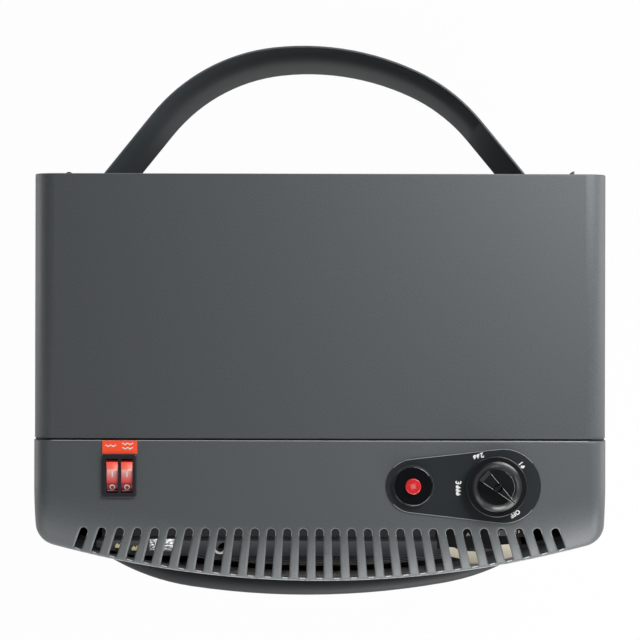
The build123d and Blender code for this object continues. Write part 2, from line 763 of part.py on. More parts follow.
for x, burner_name in zip(burner_x, ("burner_left", "burner_centre", "burner_right")):
    half_inside = burner_width / 2 - burner_sheet
    with BuildPart() as burner:
        slab((x - burner_width / 2, x + burner_width / 2), (burner_y, burner_y + burner_depth),
             (z_burner, z_burner + burner_height))
        rod((x, venturi_y, z_burner - venturi_length), (0, 0, 1), venturi_radius, venturi_length)
        slab((x - half_inside, x + half_inside), (burner_y, burner_y + plaque_depth),
             (z_burner + burner_sheet, z_burner + burner_height - burner_sheet), Mode.SUBTRACT)
        slab((x - half_inside + plaque_seat, x + half_inside - plaque_seat),
             (burner_y, burner_y + burner_depth - burner_sheet),
             (z_burner + plaque_seat, z_burner + burner_height - plaque_seat), Mode.SUBTRACT)
        rod((x, venturi_y, z_burner - venturi_length), (0, 0, 1), venturi_radius - burner_sheet,
            venturi_length + plaque_depth, Mode.SUBTRACT)
    write(burner, burner_name)

with BuildPart() as ceramic_plaques:
    for x in burner_x:
        for z in (z_burner + burner_sheet, z_burner + burner_height - burner_sheet - plaque_height):
            slab((x - plaque_width / 2, x + plaque_width / 2), (burner_y, burner_y + plaque_depth),
                 (z, z + plaque_height))
write(ceramic_plaques, "ceramic_plaques")

# Burner rails: two bars that carry the burners on the bulkhead
rail_trim = 2
rail_height = 12
rail_margin = 18
rail_half_length = burner_pitch + burner_width / 2 - rail_trim
rail_z = (z_burner + rail_margin, z_burner + burner_height - rail_margin - rail_height)

with BuildPart() as burner_rails:
    for z in rail_z:
        slab((-rail_half_length, rail_half_length), (burner_y + burner_depth, y_bulkhead),
             (z, z + rail_height))
write(burner_rails, "burner_rails")

# Injectors and their shelf below the venturi tubes
shelf_drop = 22
shelf_overhang = 7
shelf_flange = 20
injector_foot_radius = 4
injector_foot_drop = 8
injector_body_radius = 5.5
injector_body_height = 9
injector_tip_radius = 2.5
injector_tip_height = 8
jet_radius = 0.6
shelf_z = z_burner - venturi_length - shelf_drop
shelf_front = venturi_y - shelf_overhang

with BuildPart() as injector_shelf:
    slab((-rail_half_length, rail_half_length), (shelf_front, y_bulkhead), (shelf_z, shelf_z + steel))
    slab((-rail_half_length, rail_half_length), (y_bulkhead - steel, y_bulkhead),
         (shelf_z - shelf_flange, shelf_z + steel))
    for x in burner_x:
        rod((x, venturi_y, shelf_z - overrun), (0, 0, 1), injector_foot_radius, 2 * overrun, Mode.SUBTRACT)
write(injector_shelf, "injector_shelf")

with BuildPart() as injectors:
    for x in burner_x:
        rod((x, venturi_y, shelf_z - injector_foot_drop), (0, 0, 1), injector_foot_radius,
            injector_foot_drop + steel)
    with BuildSketch(Plane.XY.offset(shelf_z + steel)):
        with Locations(*((x, venturi_y) for x in burner_x)):
            RegularPolygon(injector_body_radius, 6)
    extrude(amount=injector_body_height)
    for x in burner_x:
        rod((x, venturi_y, shelf_z + steel + injector_body_height), (0, 0, 1), injector_tip_radius,
            injector_tip_height)
        rod((x, venturi_y, shelf_z - injector_foot_drop), (0, 0, 1), jet_radius,
            injector_foot_drop + steel + injector_body_height + injector_tip_height, Mode.SUBTRACT)
write(injectors, "injectors")

# Gas pipes: three in one plane, from the valve's underside round the reflector to the injectors
pipe_radius = 3
pipe_bore = 2.2
pipe_bend = 3.5
pipe_pitch = 10
pipe_column_inset = 62
pipe_floor_drop = 20

with BuildPart() as burner_pipes:
    for number, target in enumerate(reversed(burner_x)):
        port = knob_x + (number - 1) * pipe_pitch
        turn_z = z_console + (number - 2) * pipe_pitch
        column = half_width - pipe_column_inset + number * pipe_pitch
        floor_z = shelf_z - pipe_floor_drop - number * pipe_pitch
        add(tube([(port, venturi_y, valve_z[0]), (port, venturi_y, turn_z), (column, venturi_y, turn_z),
                  (column, venturi_y, floor_z), (target, venturi_y, floor_z),
                  (target, venturi_y, shelf_z - injector_foot_drop)], pipe_bend, pipe_radius, pipe_bore))
write(burner_pipes, "burner_pipes")

# Hose nozzle: a thread through the bulkhead, a hexagon and a plain spigot for the gas hose
nozzle_hex_radius = 8
nozzle_hex_length = 8
nozzle_thread_radius = 5.9
spigot_radius = 4
spigot_length = 18
spigot_bore = 2.5
spigot_chamfer = 0.6

with BuildPart() as hose_nozzle:
    rod((inlet_place[0], y_bay, inlet_place[1]), (0, 1, 0), spigot_radius, nozzle_hex_length + spigot_length)
    chamfer(hose_nozzle.faces().sort_by(Axis.Y)[-1].edges(), length=spigot_chamfer)
    rod((inlet_place[0], y_bulkhead, inlet_place[1]), (0, 1, 0), nozzle_thread_radius, steel)
    with BuildSketch(across(y_bay)):
        with Locations(inlet_place):
            RegularPolygon(nozzle_hex_radius, 6)
    extrude(amount=-nozzle_hex_length)
    rod((inlet_place[0], y_bulkhead, inlet_place[1]), (0, 1, 0), spigot_bore,
        steel + nozzle_hex_length + spigot_length, Mode.SUBTRACT)
write(hose_nozzle, "hose_nozzle")

# Pilot group in front of the right-hand burner gap: bracket, burner head, thermocouple, electrode
bracket_half_width = 14
bracket_overhang = 4
lead_setback = 13.7
thermocouple_radius = 1.6
electrode_radius = 1.2
insulator_radius = 2.6
pilot_tube_radius = 1.6
pilot_head_radius = 3.5
pilot_head_height = 12
probe_height = 20
lead_bend = 3
lead_pitch = 5
lead_column_inset = 26
lead_tops = (40, 25, 5)
lead_ends = (valve_span[1], valve_span[1], piezo_x)
pilot_lead_y = pilot_y + lead_setback

with BuildPart() as pilot_burner:
    slab((pilot_place[1] - bracket_half_width, pilot_place[1] + bracket_half_width),
         (pilot_y - bracket_overhang, reflector_y[0]), (bracket_z, bracket_z + steel))
    rod((pilot_place[1], pilot_y, bracket_z + steel), (0, 0, 1), pilot_head_radius, pilot_head_height)
    for x, hole in zip(pilot_place, (thermocouple_radius, pilot_tube_radius, insulator_radius)):
        rod((x, pilot_y, bracket_z - steel), (0, 0, 1), hole, 3 * steel, Mode.SUBTRACT)
write(pilot_burner, "pilot_burner")


def lead_route(number, z_start):
    """A pilot lead: down through the bracket, back, under the burners, up the right side and across."""
    x = pilot_place[number]
    column = half_width - lead_column_inset - number * lead_pitch
    floor_z = shelf_z - pipe_floor_drop + number * lead_pitch
    top_z = z_console + lead_tops[number]
    return [(x, pilot_y, z_start), (x, pilot_y, z_pilot_lead), (x, pilot_lead_y, z_pilot_lead),
            (x, pilot_lead_y, floor_z), (column, pilot_lead_y, floor_z),
            (column, pilot_lead_y, top_z), (lead_ends[number], pilot_lead_y, top_z)]


with BuildPart() as thermocouple:
    add(tube(lead_route(0, bracket_z + probe_height), lead_bend, thermocouple_radius))
write(thermocouple, "thermocouple")

with BuildPart() as pilot_pipe:
    add(tube(lead_route(1, bracket_z + 2 * steel), lead_bend, pilot_tube_radius, pilot_tube_radius / 2))
write(pilot_pipe, "pilot_pipe")

with BuildPart() as spark_electrode:
    rod((pilot_place[2], pilot_y, bracket_z), (0, 0, 1), insulator_radius, pilot_head_height)
    rod((pilot_place[2], pilot_y, bracket_z + pilot_head_height), (0, 0, 1), electrode_radius,
        probe_height - pilot_head_height)
write(spark_electrode, "spark_electrode")

with BuildPart() as ignition_lead:
    add(tube(lead_route(2, bracket_z) + [(piezo_x, pilot_lead_y, z_piezo_body + overrun)], lead_bend,
             electrode_radius))
write(ignition_lead, "ignition_lead")

# Cross-flow blower: folded housing with its outlet duct, impeller, motor and two heating elements
blower_y = burner_y
impeller_radius = 26
impeller_half_length = 106
blower_half_length = 110
blower_shell_radius = 38
blower_sheet = 1.2
duct_drop = 6
duct_height = 58
inlet_trim = 8
hub_disc = 2
blade_count = 24
blade_depth = 7
blade_sheet = 0.9
blade_lean = 25
shaft_radius = 3
shaft_motor_reach = 12
motor_radius = 24
motor_length = 40
motor_edge = 2
standoff_width = 12
standoff_x = (-90, 90)
element_radius = 3.2
element_margin = 14
element_pitch = 25
element_front_inset = 6
element_depth = 14
element_turn = 6.9
element_end = -100
duct_z = (z_blower - duct_drop - duct_height, z_blower - duct_drop)
duct_front = bow_y(blower_half_length, steel) + fit_gap
element_z = (duct_z[0] + element_margin, duct_z[0] + element_margin + element_pitch)
element_y = (duct_front + element_front_inset, duct_front + element_front_inset + element_depth)


def blower_section(inset):
    """The blower housing seen from the side: a round scroll run into a flat duct, drawn in by inset."""
    front = duct_front - overrun * bool(inset)
    with BuildSketch() as section:
        with Locations((blower_y, z_blower)):
            Circle(blower_shell_radius - inset)
        with Locations(((front + blower_y - inset) / 2, sum(duct_z) / 2)):
            Rectangle(blower_y - inset - front, duct_z[1] - duct_z[0] - 2 * inset)
    return section.sketch


with BuildPart() as blower_housing:
    with BuildSketch(Plane.YZ.offset(-blower_half_length)):
        add(blower_section(0))
    extrude(amount=2 * blower_half_length)
    with BuildSketch(Plane.YZ.offset(blower_sheet - blower_half_length)):
        add(blower_section(blower_sheet))
    extrude(amount=2 * (blower_half_length - blower_sheet), mode=Mode.SUBTRACT)
    slab((inlet_trim - blower_half_length, blower_half_length - inlet_trim),
         (blower_y + inlet_trim, blower_y + blower_shell_radius + overrun),
         (z_blower - inlet_trim, z_blower + blower_shell_radius + overrun), Mode.SUBTRACT)
    for x in standoff_x:
        slab((x - standoff_width / 2, x + standoff_width / 2), (blower_y - blower_sheet, y_bulkhead),
             (duct_z[0], duct_z[0] + blower_sheet))
    rod((-blower_half_length - overrun, blower_y, z_blower), (1, 0, 0), shaft_radius + running_gap,
        2 * (blower_half_length + overrun), Mode.SUBTRACT)
write(blower_housing, "blower_housing")

with BuildPart() as blower_impeller:
    for x in (-impeller_half_length, -hub_disc / 2, impeller_half_length - hub_disc):
        rod((x, blower_y, z_blower), (1, 0, 0), impeller_radius, hub_disc)
    with BuildSketch(Plane(origin=(-impeller_half_length, blower_y, z_blower), x_dir=(0, 1, 0),
                           z_dir=(1, 0, 0))):
        with PolarLocations(impeller_radius - blade_depth / 2, blade_count):
            Rectangle(blade_depth - blade_sheet, blade_sheet, rotation=blade_lean)
    extrude(amount=2 * impeller_half_length)
    rod((-blower_half_length, blower_y, z_blower), (1, 0, 0), shaft_radius,
        2 * blower_half_length + shaft_motor_reach)
write(blower_impeller, "blower_impeller")

with BuildPart() as blower_motor:
    rod((blower_half_length, blower_y, z_blower), (1, 0, 0), motor_radius, motor_length)
    fillet(blower_motor.faces().sort_by(Axis.X)[-1].edges(), radius=motor_edge)
    rod((blower_half_length, blower_y, z_blower), (1, 0, 0), shaft_radius + running_gap,
        shaft_motor_reach + fit_gap, Mode.SUBTRACT)
write(blower_motor, "blower_motor")

for z, element_name in zip(element_z, ("heating_element_lower", "heating_element_upper")):
    element_wall = blower_half_length - blower_sheet
    with BuildPart() as heating_element:
        add(tube([(element_wall, element_y[0], z), (element_end, element_y[0], z),
                  (element_end, element_y[1], z), (element_wall, element_y[1], z)],
                 element_turn, element_radius))
    write(heating_element, element_name)

# Electric parts in the lower compartment
cutout_radius = 9
cutout_height = 8
cutout_setback = 22
tilt_spacing = 55
tilt_front_shift = 5
tilt_size = (24, 30, 22)
tilt_chamfer = 1.2
terminal_block_width = 44
terminal_block_depth = 12
terminal_block_height = 30
terminal_block_lift = 30
terminal_count = 3
terminal_screw_radius = 3.5
terminal_screw_depth = 6
gland_flange_radius = 9
gland_flange_length = 6
gland_nut_length = 4
gland_tail_radius = 7
gland_tail_length = 16
gland_bore = 3.6
cutout_place = (-blower_half_length, blower_y - cutout_setback, sum(duct_z) / 2)
tilt_place = (tilt_spacing - castor_x, castor_y[0] - tilt_front_shift, z_tray_floor)
terminal_block_left = gland_place[0] - terminal_block_width / 2
terminal_block_foot = gland_place[1] + terminal_block_lift

with BuildPart() as thermal_cutout:
    rod(cutout_place, (-1, 0, 0), cutout_radius, cutout_height)
    rod((cutout_place[0] - cutout_height, cutout_place[1], cutout_place[2]), (-1, 0, 0),
        cutout_radius / 2, cutout_height / 2)
write(thermal_cutout, "thermal_cutout")

with BuildPart() as tilt_switch:
    with Locations(tilt_place):
        Box(*tilt_size, align=(Align.CENTER, Align.CENTER, Align.MIN))
    chamfer(tilt_switch.faces().sort_by(Axis.Z)[-1].edges(), length=tilt_chamfer)
write(tilt_switch, "tilt_switch")

with BuildPart() as terminal_block:
    slab((terminal_block_left, terminal_block_left + terminal_block_width),
         (y_bulkhead - terminal_block_depth, y_bulkhead),
         (terminal_block_foot, terminal_block_foot + terminal_block_height))
    for number in range(terminal_count):
        rod((terminal_block_left + (number + 0.5) * terminal_block_width / terminal_count,
             y_bulkhead - terminal_block_depth, terminal_block_foot + terminal_block_height / 2),
            (0, 1, 0), terminal_screw_radius, terminal_screw_depth, Mode.SUBTRACT)
write(terminal_block, "terminal_block")

with BuildPart() as mains_gland:
    rod((gland_place[0], y_bulkhead - gland_nut_length, gland_place[1]), (0, 1, 0),
        gland_thread_radius, gland_nut_length + steel + gland_flange_length)
    for face_y, length in ((y_bulkhead, -gland_nut_length), (y_bay, gland_flange_length)):
        with BuildSketch(across(face_y)):
            with Locations(gland_place):
                RegularPolygon(gland_flange_radius, 6)
        extrude(amount=-length)
    rod((gland_place[0], y_bay + gland_flange_length, gland_place[1]), (0, 1, 0),
        gland_tail_radius, gland_tail_length - gland_flange_length)
    rod((gland_place[0], y_bulkhead - gland_nut_length, gland_place[1]), (0, 1, 0), gland_bore,
        gland_nut_length + steel + gland_tail_length, Mode.SUBTRACT)
write(mains_gland, "mains_gland")

# Bottle guard: a bent band behind the bottle, hinged on the left and held by magnets on the right.
# Two legs lean inwards, two tight shoulders and a flatter crown join them, and the crown leans left.
hoop_sheet = 1.5
hoop_top_drop = 130
hoop_height = 226
hoop_lift = 2
hoop_end_inset = 5
hoop_apex_x = -14.7
hoop_crown_share = 1
hoop_shoulder_share = 0.68
hoop_crown_angles = (6.4, 25)
hoop_shoulder_angles = (44.7, 25.5)
hinge_inset = 9
hinge_reach = 6
hinge_margin = 28
knuckle_radius = 3.6
knuckle_length = 14
knuckle_gap = 0.3
pin_radius = 2
leaf_sheet = 1.5
leaf_inset = 2
leaf_width = 20
pull_depth = 12
pull_height = 32
magnet_sheet = 1.9
magnet_inset = 1
magnet_width = 12
magnet_height = 26
hoop_z = (body_height - hoop_top_drop - hoop_height, body_height - hoop_top_drop)
hoop_end = half_width - hoop_end_inset
hinge_x = hinge_inset - half_width
hinge_y = y_rear + hinge_reach
hinge_z = (hoop_z[0] + hinge_margin, hoop_z[1] - hinge_margin - 3 * knuckle_length)
leaf_span = (leaf_inset - half_width, leaf_inset + leaf_width - half_width)
pull_z = (sum(hoop_z) / 2 - pull_height / 2, sum(hoop_z) / 2 + pull_height / 2)
magnet_span = (hoop_end - magnet_inset - magnet_width, hoop_end - magnet_inset)
flange_y = y_rear + hoop_lift + hoop_sheet / 2
hoop_left = hinge_x + knuckle_radius + 2 * knuckle_gap
hoop_ends = (hoop_left, hoop_end)

with BuildPart() as bottle_guard:
    with BuildSketch(Plane.XY.offset(hoop_z[0])):
        with BuildLine():
            for side, end_x, crown_angle, shoulder_angle in zip(
                    (-1, 1), hoop_ends, hoop_crown_angles, hoop_shoulder_angles):
                crown = JernArc((hoop_apex_x, overall_depth / 2 - hoop_sheet / 2), (side, 0),
                                hoop_crown_share * half_width - hoop_sheet / 2, -side * crown_angle)
                shoulder = JernArc(crown @ 1, crown % 1, hoop_shoulder_share * half_width - hoop_sheet / 2,
                                   -side * shoulder_angle)
                leg_drop = (shoulder @ 1).Y - flange_y
                leg_angle = math.radians(crown_angle + shoulder_angle)
                leg_x = (shoulder @ 1).X + side * leg_drop / math.tan(leg_angle)
                Polyline(shoulder @ 1, (leg_x, flange_y), (end_x, flange_y))
        trace(line_width=hoop_sheet)
    extrude(amount=hoop_height)
    slab((hoop_end - hoop_sheet, hoop_end), (flange_y, flange_y + pull_depth), pull_z)
    for z in hinge_z:
        rod((hinge_x, hinge_y, z + knuckle_length + knuckle_gap), (0, 0, 1), knuckle_radius,
            knuckle_length - 2 * knuckle_gap)
        slab((hinge_x, hoop_left + hoop_sheet), (flange_y - hoop_sheet / 2, flange_y + hoop_sheet / 2),
             (z + knuckle_length + knuckle_gap, z + 2 * knuckle_length - knuckle_gap))
        rod((hinge_x, hinge_y, z), (0, 0, 1), pin_radius + running_gap, 3 * knuckle_length, Mode.SUBTRACT)
write(bottle_guard, "bottle_guard")

with BuildPart() as guard_hinge_leaves:
    for z in hinge_z:
        slab(leaf_span, (y_rear, y_rear + leaf_sheet), (z, z + 3 * knuckle_length))
        for knuckle_z in (z, z + 2 * knuckle_length):
            rod((hinge_x, hinge_y, knuckle_z), (0, 0, 1), knuckle_radius, knuckle_length)
            slab((hinge_x - knuckle_radius, hinge_x + knuckle_radius / 2), (y_rear, hinge_y),
                 (knuckle_z, knuckle_z + knuckle_length))
        rod((hinge_x, hinge_y, z), (0, 0, 1), pin_radius, 3 * knuckle_length, Mode.SUBTRACT)
write(guard_hinge_leaves, "guard_hinge_leaves")

with BuildPart() as guard_hinge_pins:
    for z in hinge_z:
        rod((hinge_x, hinge_y, z), (0, 0, 1), pin_radius, 3 * knuckle_length)
write(guard_hinge_pins, "guard_hinge_pins")

with BuildPart() as guard_magnets:
    for z in hinge_z:
        slab(magnet_span, (y_rear, y_rear + magnet_sheet), (z, z + magnet_height))
write(guard_magnets, "guard_magnets")

# Castors: plate with a swivel boss, fork with its axle riveted in, and a wheel
castor_plate = 38
castor_plate_corner = 2
castor_plate_thickness = 2
boss_radius = 11
boss_height = 6
fork_stem_radius = 5
stem_gap = 0.06
stem_height = 7
crown_thickness = 3
crown_half_width = 11
crown_reach = (-11, 15)
crown_gap = 0.5
castor_wheel_radius = 22
castor_wheel_width = 17
castor_trail = 14
castor_axle_radius = 3
cheek_sheet = 2
cheek_end_radius = 7
wheel_round = 2.5
wheel_hub_radius = 8
wheel_dish_radius = 17
wheel_dish_depth = 3
z_castor_plate = z_tray - castor_plate_thickness
z_crown = z_castor_plate - boss_height - crown_gap - crown_thickness

with BuildPart() as castor_plates:
    with BuildSketch(Plane.XY.offset(z_castor_plate)):
        with Locations(*castor_places):
            RectangleRounded(castor_plate, castor_plate, castor_plate_corner)
    extrude(amount=castor_plate_thickness)
    with BuildSketch(Plane.XY.offset(z_castor_plate - boss_height)):
        with Locations(*castor_places):
            Circle(boss_radius)
    extrude(amount=boss_height)
    with BuildSketch(Plane.XY.offset(z_castor_plate - boss_height)):
        with Locations(*castor_places):
            Circle(fork_stem_radius + stem_gap)
    extrude(amount=castor_height, mode=Mode.SUBTRACT)
    add(castor_screw_discs(screw_radius + screw_hole_gap))
    extrude(amount=castor_height, mode=Mode.SUBTRACT)
write(castor_plates, "castor_plates")

castor_names = ("front_left", "rear_left", "front_right", "rear_right")
for (x, y), corner_name in zip(castor_places, castor_names):
    axle_y = y + castor_trail
    with BuildPart() as fork:
        slab((x - crown_half_width, x + crown_half_width), (y + crown_reach[0], y + crown_reach[1]),
             (z_crown, z_crown + crown_thickness))
        rod((x, y, z_crown), (0, 0, 1), fork_stem_radius, crown_thickness + crown_gap + stem_height)
        for side in (-1, 1):
            with BuildSketch(Plane.YZ.offset(x + side * crown_half_width)):
                with Locations((axle_y, castor_wheel_radius)):
                    Circle(cheek_end_radius)
                with Locations((y + sum(crown_reach) / 2, z_crown + crown_thickness / 2)):
                    Rectangle(crown_reach[1] - crown_reach[0], crown_thickness)
                make_hull()
            extrude(amount=-side * cheek_sheet)
        rod((x - crown_half_width, axle_y, castor_wheel_radius), (1, 0, 0), castor_axle_radius,
            2 * crown_half_width)
    write(fork, f"castor_fork_{corner_name}")

    half_wheel = castor_wheel_width / 2
    with BuildPart() as wheel:
        rod((x - half_wheel, axle_y, castor_wheel_radius), (1, 0, 0), castor_wheel_radius, castor_wheel_width)
        fillet(wheel.edges(), radius=wheel_round)
        for side in (-1, 1):
            with BuildSketch(Plane(origin=(x + side * half_wheel, axle_y, castor_wheel_radius),
                                   x_dir=(0, 1, 0), z_dir=(1, 0, 0))):
                Circle(wheel_dish_radius)
                Circle(wheel_hub_radius, mode=Mode.SUBTRACT)
            extrude(amount=-side * wheel_dish_depth, mode=Mode.SUBTRACT)
        rod((x - half_wheel, axle_y, castor_wheel_radius), (1, 0, 0), castor_axle_radius + running_gap,
            castor_wheel_width, Mode.SUBTRACT)
    write(wheel, f"castor_wheel_{corner_name}")

# Screws: through the castor plates from below, and through the side panels
screw_length = 8

with BuildPart() as castor_screws:
    add(castor_screw_discs(screw_radius).moved(Location((0, 0, z_castor_plate))))
    extrude(amount=castor_plate_thickness + 2 * steel)
    add(castor_screw_discs(screw_head_radius).moved(Location((0, 0, z_castor_plate - screw_head_height))))
    extrude(amount=screw_head_height)
write(castor_screws, "castor_screws")

with BuildPart() as panel_screws:
    for side in (-1, 1):
        for y, z in tray_screws + front_screws + casing_screws:
            rod((side * half_width, y, z), (-side, 0, 0), screw_radius, screw_length)
            rod((side * half_width, y, z), (side, 0, 0), screw_head_radius, panel_head_height)
write(panel_screws, "panel_screws")
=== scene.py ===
# %% [markdown]
# # A cabinet heater for bottled gas and mains, dressed for a picture from straight above
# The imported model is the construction: every sheet, moulding, pipe and wheel at its real size.
# This notebook gives those pieces their finishes, adds the print and the small fittings that are
# too fine for the construction, and sets a plain studio round them. Nothing here moves or resizes
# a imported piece, so the picture and the construction stay one object.

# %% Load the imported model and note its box
import math
import random

import bmesh
import bpy
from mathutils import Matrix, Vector
from mathutils.bvhtree import BVHTree


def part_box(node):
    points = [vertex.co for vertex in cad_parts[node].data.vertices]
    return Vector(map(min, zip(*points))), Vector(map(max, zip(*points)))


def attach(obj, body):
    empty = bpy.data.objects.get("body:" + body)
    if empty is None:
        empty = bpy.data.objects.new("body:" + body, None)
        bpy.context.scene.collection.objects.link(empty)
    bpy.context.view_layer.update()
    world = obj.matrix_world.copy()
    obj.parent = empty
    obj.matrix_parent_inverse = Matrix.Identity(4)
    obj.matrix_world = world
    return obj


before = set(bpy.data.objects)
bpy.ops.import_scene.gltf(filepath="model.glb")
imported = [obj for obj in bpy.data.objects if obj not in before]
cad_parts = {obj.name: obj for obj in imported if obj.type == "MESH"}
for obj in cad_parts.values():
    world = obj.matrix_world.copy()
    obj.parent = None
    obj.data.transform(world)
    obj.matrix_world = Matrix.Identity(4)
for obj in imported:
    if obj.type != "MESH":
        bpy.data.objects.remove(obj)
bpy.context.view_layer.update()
mm = 0.001

# %% [markdown]
# ## Colours and shader nodes
# Paint and plastic colours are written as sRGB hex values, the way a colour picker shows them.
# Blender's shaders work in linear light, so one function turns a hex value into linear numbers.
# A second small function adds a shader node: it sets plain properties, fills input sockets and
# makes links, so that each material below reads as a short list of what it is made of.

# %% Colour and node helpers


def linear(hex_code):
    """Linear RGBA of an sRGB hex colour such as '5a5e60'."""
    shares = [int(hex_code[place:place + 2], 16) / 255 for place in (0, 2, 4)]
    return [share / 12.92 if share <= 0.04045 else ((share + 0.055) / 1.055) ** 2.4
            for share in shares] + [1]


def dimmed(hex_code, share):
    """Linear RGBA of a hex colour that gives back only a share of its light."""
    return [channel * share for channel in linear(hex_code)[:3]] + [1]


def node(tree, kind, inputs=None, **settings):
    """Adds one shader node; an input is a plain value or another node's output socket."""
    made = tree.nodes.new(kind)
    for name, value in settings.items():
        setattr(made, name, value)
    for name, value in (inputs or {}).items():
        if isinstance(value, bpy.types.NodeSocket):
            tree.links.new(value, made.inputs[name])
        else:
            made.inputs[name].default_value = value
    return made


def new_material(name):
    """An empty material and its node tree."""
    made = bpy.data.materials.new(name)
    made.use_nodes = True
    made.node_tree.nodes.clear()
    print("finish:", name)
    return made, made.node_tree


def finish_material(tree, shader):
    """Links a shader to the material's output."""
    tree.links.new(shader.outputs[0], node(tree, "ShaderNodeOutputMaterial").inputs["Surface"])


# %% [markdown]
# ## Grain
# Powder coat and moulded plastic both have a fine grain, a little of it in the colour and a little
# in the height. A picture texture would need UV maps, so the grain is noise instead, measured in
# the object's own metres: it keeps its size on every piece and from every side. The real grain is
# about 0.3 mm wide, too fine for a picture in which a pixel is 0.74 mm wide, so it is drawn at a
# little over a pixel. Where edge_radius is given, a Bevel node also rounds the shading of the
# sharp edges. That suits the console, whose narrow ribs leave a modelled round too little room.

# %% A grained finish for paint and plastic
drawn_grain = 1.0 * mm
grain_strength = 0.6
bevel_samples = 8


def speckled(tree, colour, dark_colour, grain):
    """Noise as fine as the grain, and the colour that it mixes from two shades."""
    place = node(tree, "ShaderNodeTexCoord").outputs["Object"]
    speckle = node(tree, "ShaderNodeTexNoise", {"Vector": place, "Scale": 1 / grain, "Detail": 2.0})
    shade = node(tree, "ShaderNodeMix", {"Factor": speckle.outputs["Fac"], "A": dark_colour, "B": colour},
                 data_type="RGBA")
    return speckle.outputs["Fac"], shade.outputs["Result"]


def grained(name, colour, dark_colour, roughness, grain=drawn_grain, depth=0.02 * mm, ior=1.5,
            edge_radius=0.0):
    """Paint or plastic: two near shades, fine grain and, where edge_radius is given, shaded round edges."""
    made, tree = new_material(name)
    speckle, shade = speckled(tree, linear(colour), linear(dark_colour), grain)
    relief = {"Height": speckle, "Distance": depth, "Strength": grain_strength}
    if edge_radius:
        rounding = node(tree, "ShaderNodeBevel", {"Radius": edge_radius}, samples=bevel_samples)
        relief["Normal"] = rounding.outputs["Normal"]
    height = node(tree, "ShaderNodeBump", relief)
    shader = node(tree, "ShaderNodeBsdfPrincipled", {
        "Base Color": shade, "Roughness": roughness, "IOR": ior, "Normal": height.outputs["Normal"]})
    finish_material(tree, shader)
    return made


# %% [markdown]
# ## The anthracite outside
# The rear casing and the front panels are sheet steel, sprayed with powder and baked: an even anthracite
# with a satin sheen that spreads highlights wide. The console is moulded ABS in the same anthracite, a shade
# lighter and finer. Two paler greys of it are painted highlights, laid as strokes along its edges and round
# its slots. The hoop and the fire guard are painted nearly black. Each could have a shader tree of its own,
# but to the eye they differ only in shade, sheen and grain, so one recipe with other numbers serves them
# all.

# %% Materials of the outside
powder_coated_steel = grained("powder_coated_steel", "585c5e", "3c3f41", 0.5)
moulded_abs = grained("moulded_abs", "5e6264", "464a4c", 0.46, depth=0.012 * mm, edge_radius=3.0 * mm)
# Painted highlights: two paler greys of the console's moulding, for strokes along its edges and round its
# slots.
rim_highlight_abs = grained("rim_highlight_abs", "8e9294", "7c8082", 0.42)
edge_highlight_abs = grained("edge_highlight_abs", "c0c4c6", "a4a8aa", 0.4)
black_stove_paint = grained("black_stove_paint", "1b1d20", "15171a", 0.55, ior=1.35)
hoop_paint = grained("hoop_paint", "565d60", "474c50", 0.5)
castor_paint = grained("castor_paint", "26282a", "1f2123", 0.45)
nylon = grained("nylon", "242527", "1e1f21", 0.5, grain=2 * mm)

# %% [markdown]
# ## Bare and plated metals
# Metals keep the shader's default IOR and get their character from colour and roughness. Rolled
# sheet has faint streaks along the roll, longer than wide, which is noise stretched one way.
# Galvanised sheet has crystals a few millimetres across, called spangle. A Voronoi pattern gives
# each of its cells one grey of its own, just as the crystals have.

# %% A finish for bare metal
streak_length, streak_width = 33 * mm, 1.1 * mm
sheen_spread = 0.2


def metal(name, colour, roughness, spangle=0.0, dark_share=0.8, metallic=1.0):
    """Bare metal; spangle is the width of its crystals, or 0 for fine rolled streaks."""
    made, tree = new_material(name)
    place = node(tree, "ShaderNodeTexCoord").outputs["Object"]
    if spangle:
        pattern = node(tree, "ShaderNodeTexVoronoi", {"Vector": place, "Scale": 1 / spangle})
        factor = node(tree, "ShaderNodeSeparateColor", {"Color": pattern.outputs["Color"]}).outputs["Red"]
    else:
        streaks = node(tree, "ShaderNodeMapping", {
            "Vector": place, "Scale": (1 / streak_length, 1 / streak_width, 1 / streak_width)})
        factor = node(tree, "ShaderNodeTexNoise", {"Vector": streaks.outputs["Vector"], "Scale": 1.0,
                                                   "Detail": 3.0}).outputs["Fac"]
    shade = node(tree, "ShaderNodeMix", {"Factor": factor, "A": dimmed(colour, dark_share),
                                         "B": linear(colour)}, data_type="RGBA")
    rough = node(tree, "ShaderNodeMapRange", {"Value": factor, "To Min": roughness * (1 - sheen_spread),
                                              "To Max": roughness * (1 + sheen_spread)})
    shader = node(tree, "ShaderNodeBsdfPrincipled", {
        "Base Color": shade.outputs["Result"], "Metallic": metallic, "Roughness": rough.outputs["Result"]})
    finish_material(tree, shader)
    return made


# %% Materials of the metals
galvanised_steel = metal("galvanised_steel", "b4b7b9", 0.42, spangle=5 * mm)
polished_steel = metal("polished_steel", "cfd0cf", 0.16)
black_oxide_steel = metal("black_oxide_steel", "3a3d40", 0.5)
aluminised_steel = metal("aluminised_steel", "8f9193", 0.4)
zinc_plate = metal("zinc_plate", "bcc0c4", 0.3)
turned_brass = metal("turned_brass", "d8b36a", 0.25)
drawn_copper = metal("drawn_copper", "c98a66", 0.28)
die_cast_aluminium = metal("die_cast_aluminium", "b9bbbd", 0.45, spangle=2 * mm, dark_share=0.92)
fan_aluminium = metal("fan_aluminium", "c4c7c9", 0.35)
aluminium_foil = metal("aluminium_foil", "eceeef", 0.35, spangle=1.6 * mm, dark_share=0.35, metallic=0.5)
heater_sheath = metal("heater_sheath", "6f6a66", 0.45)
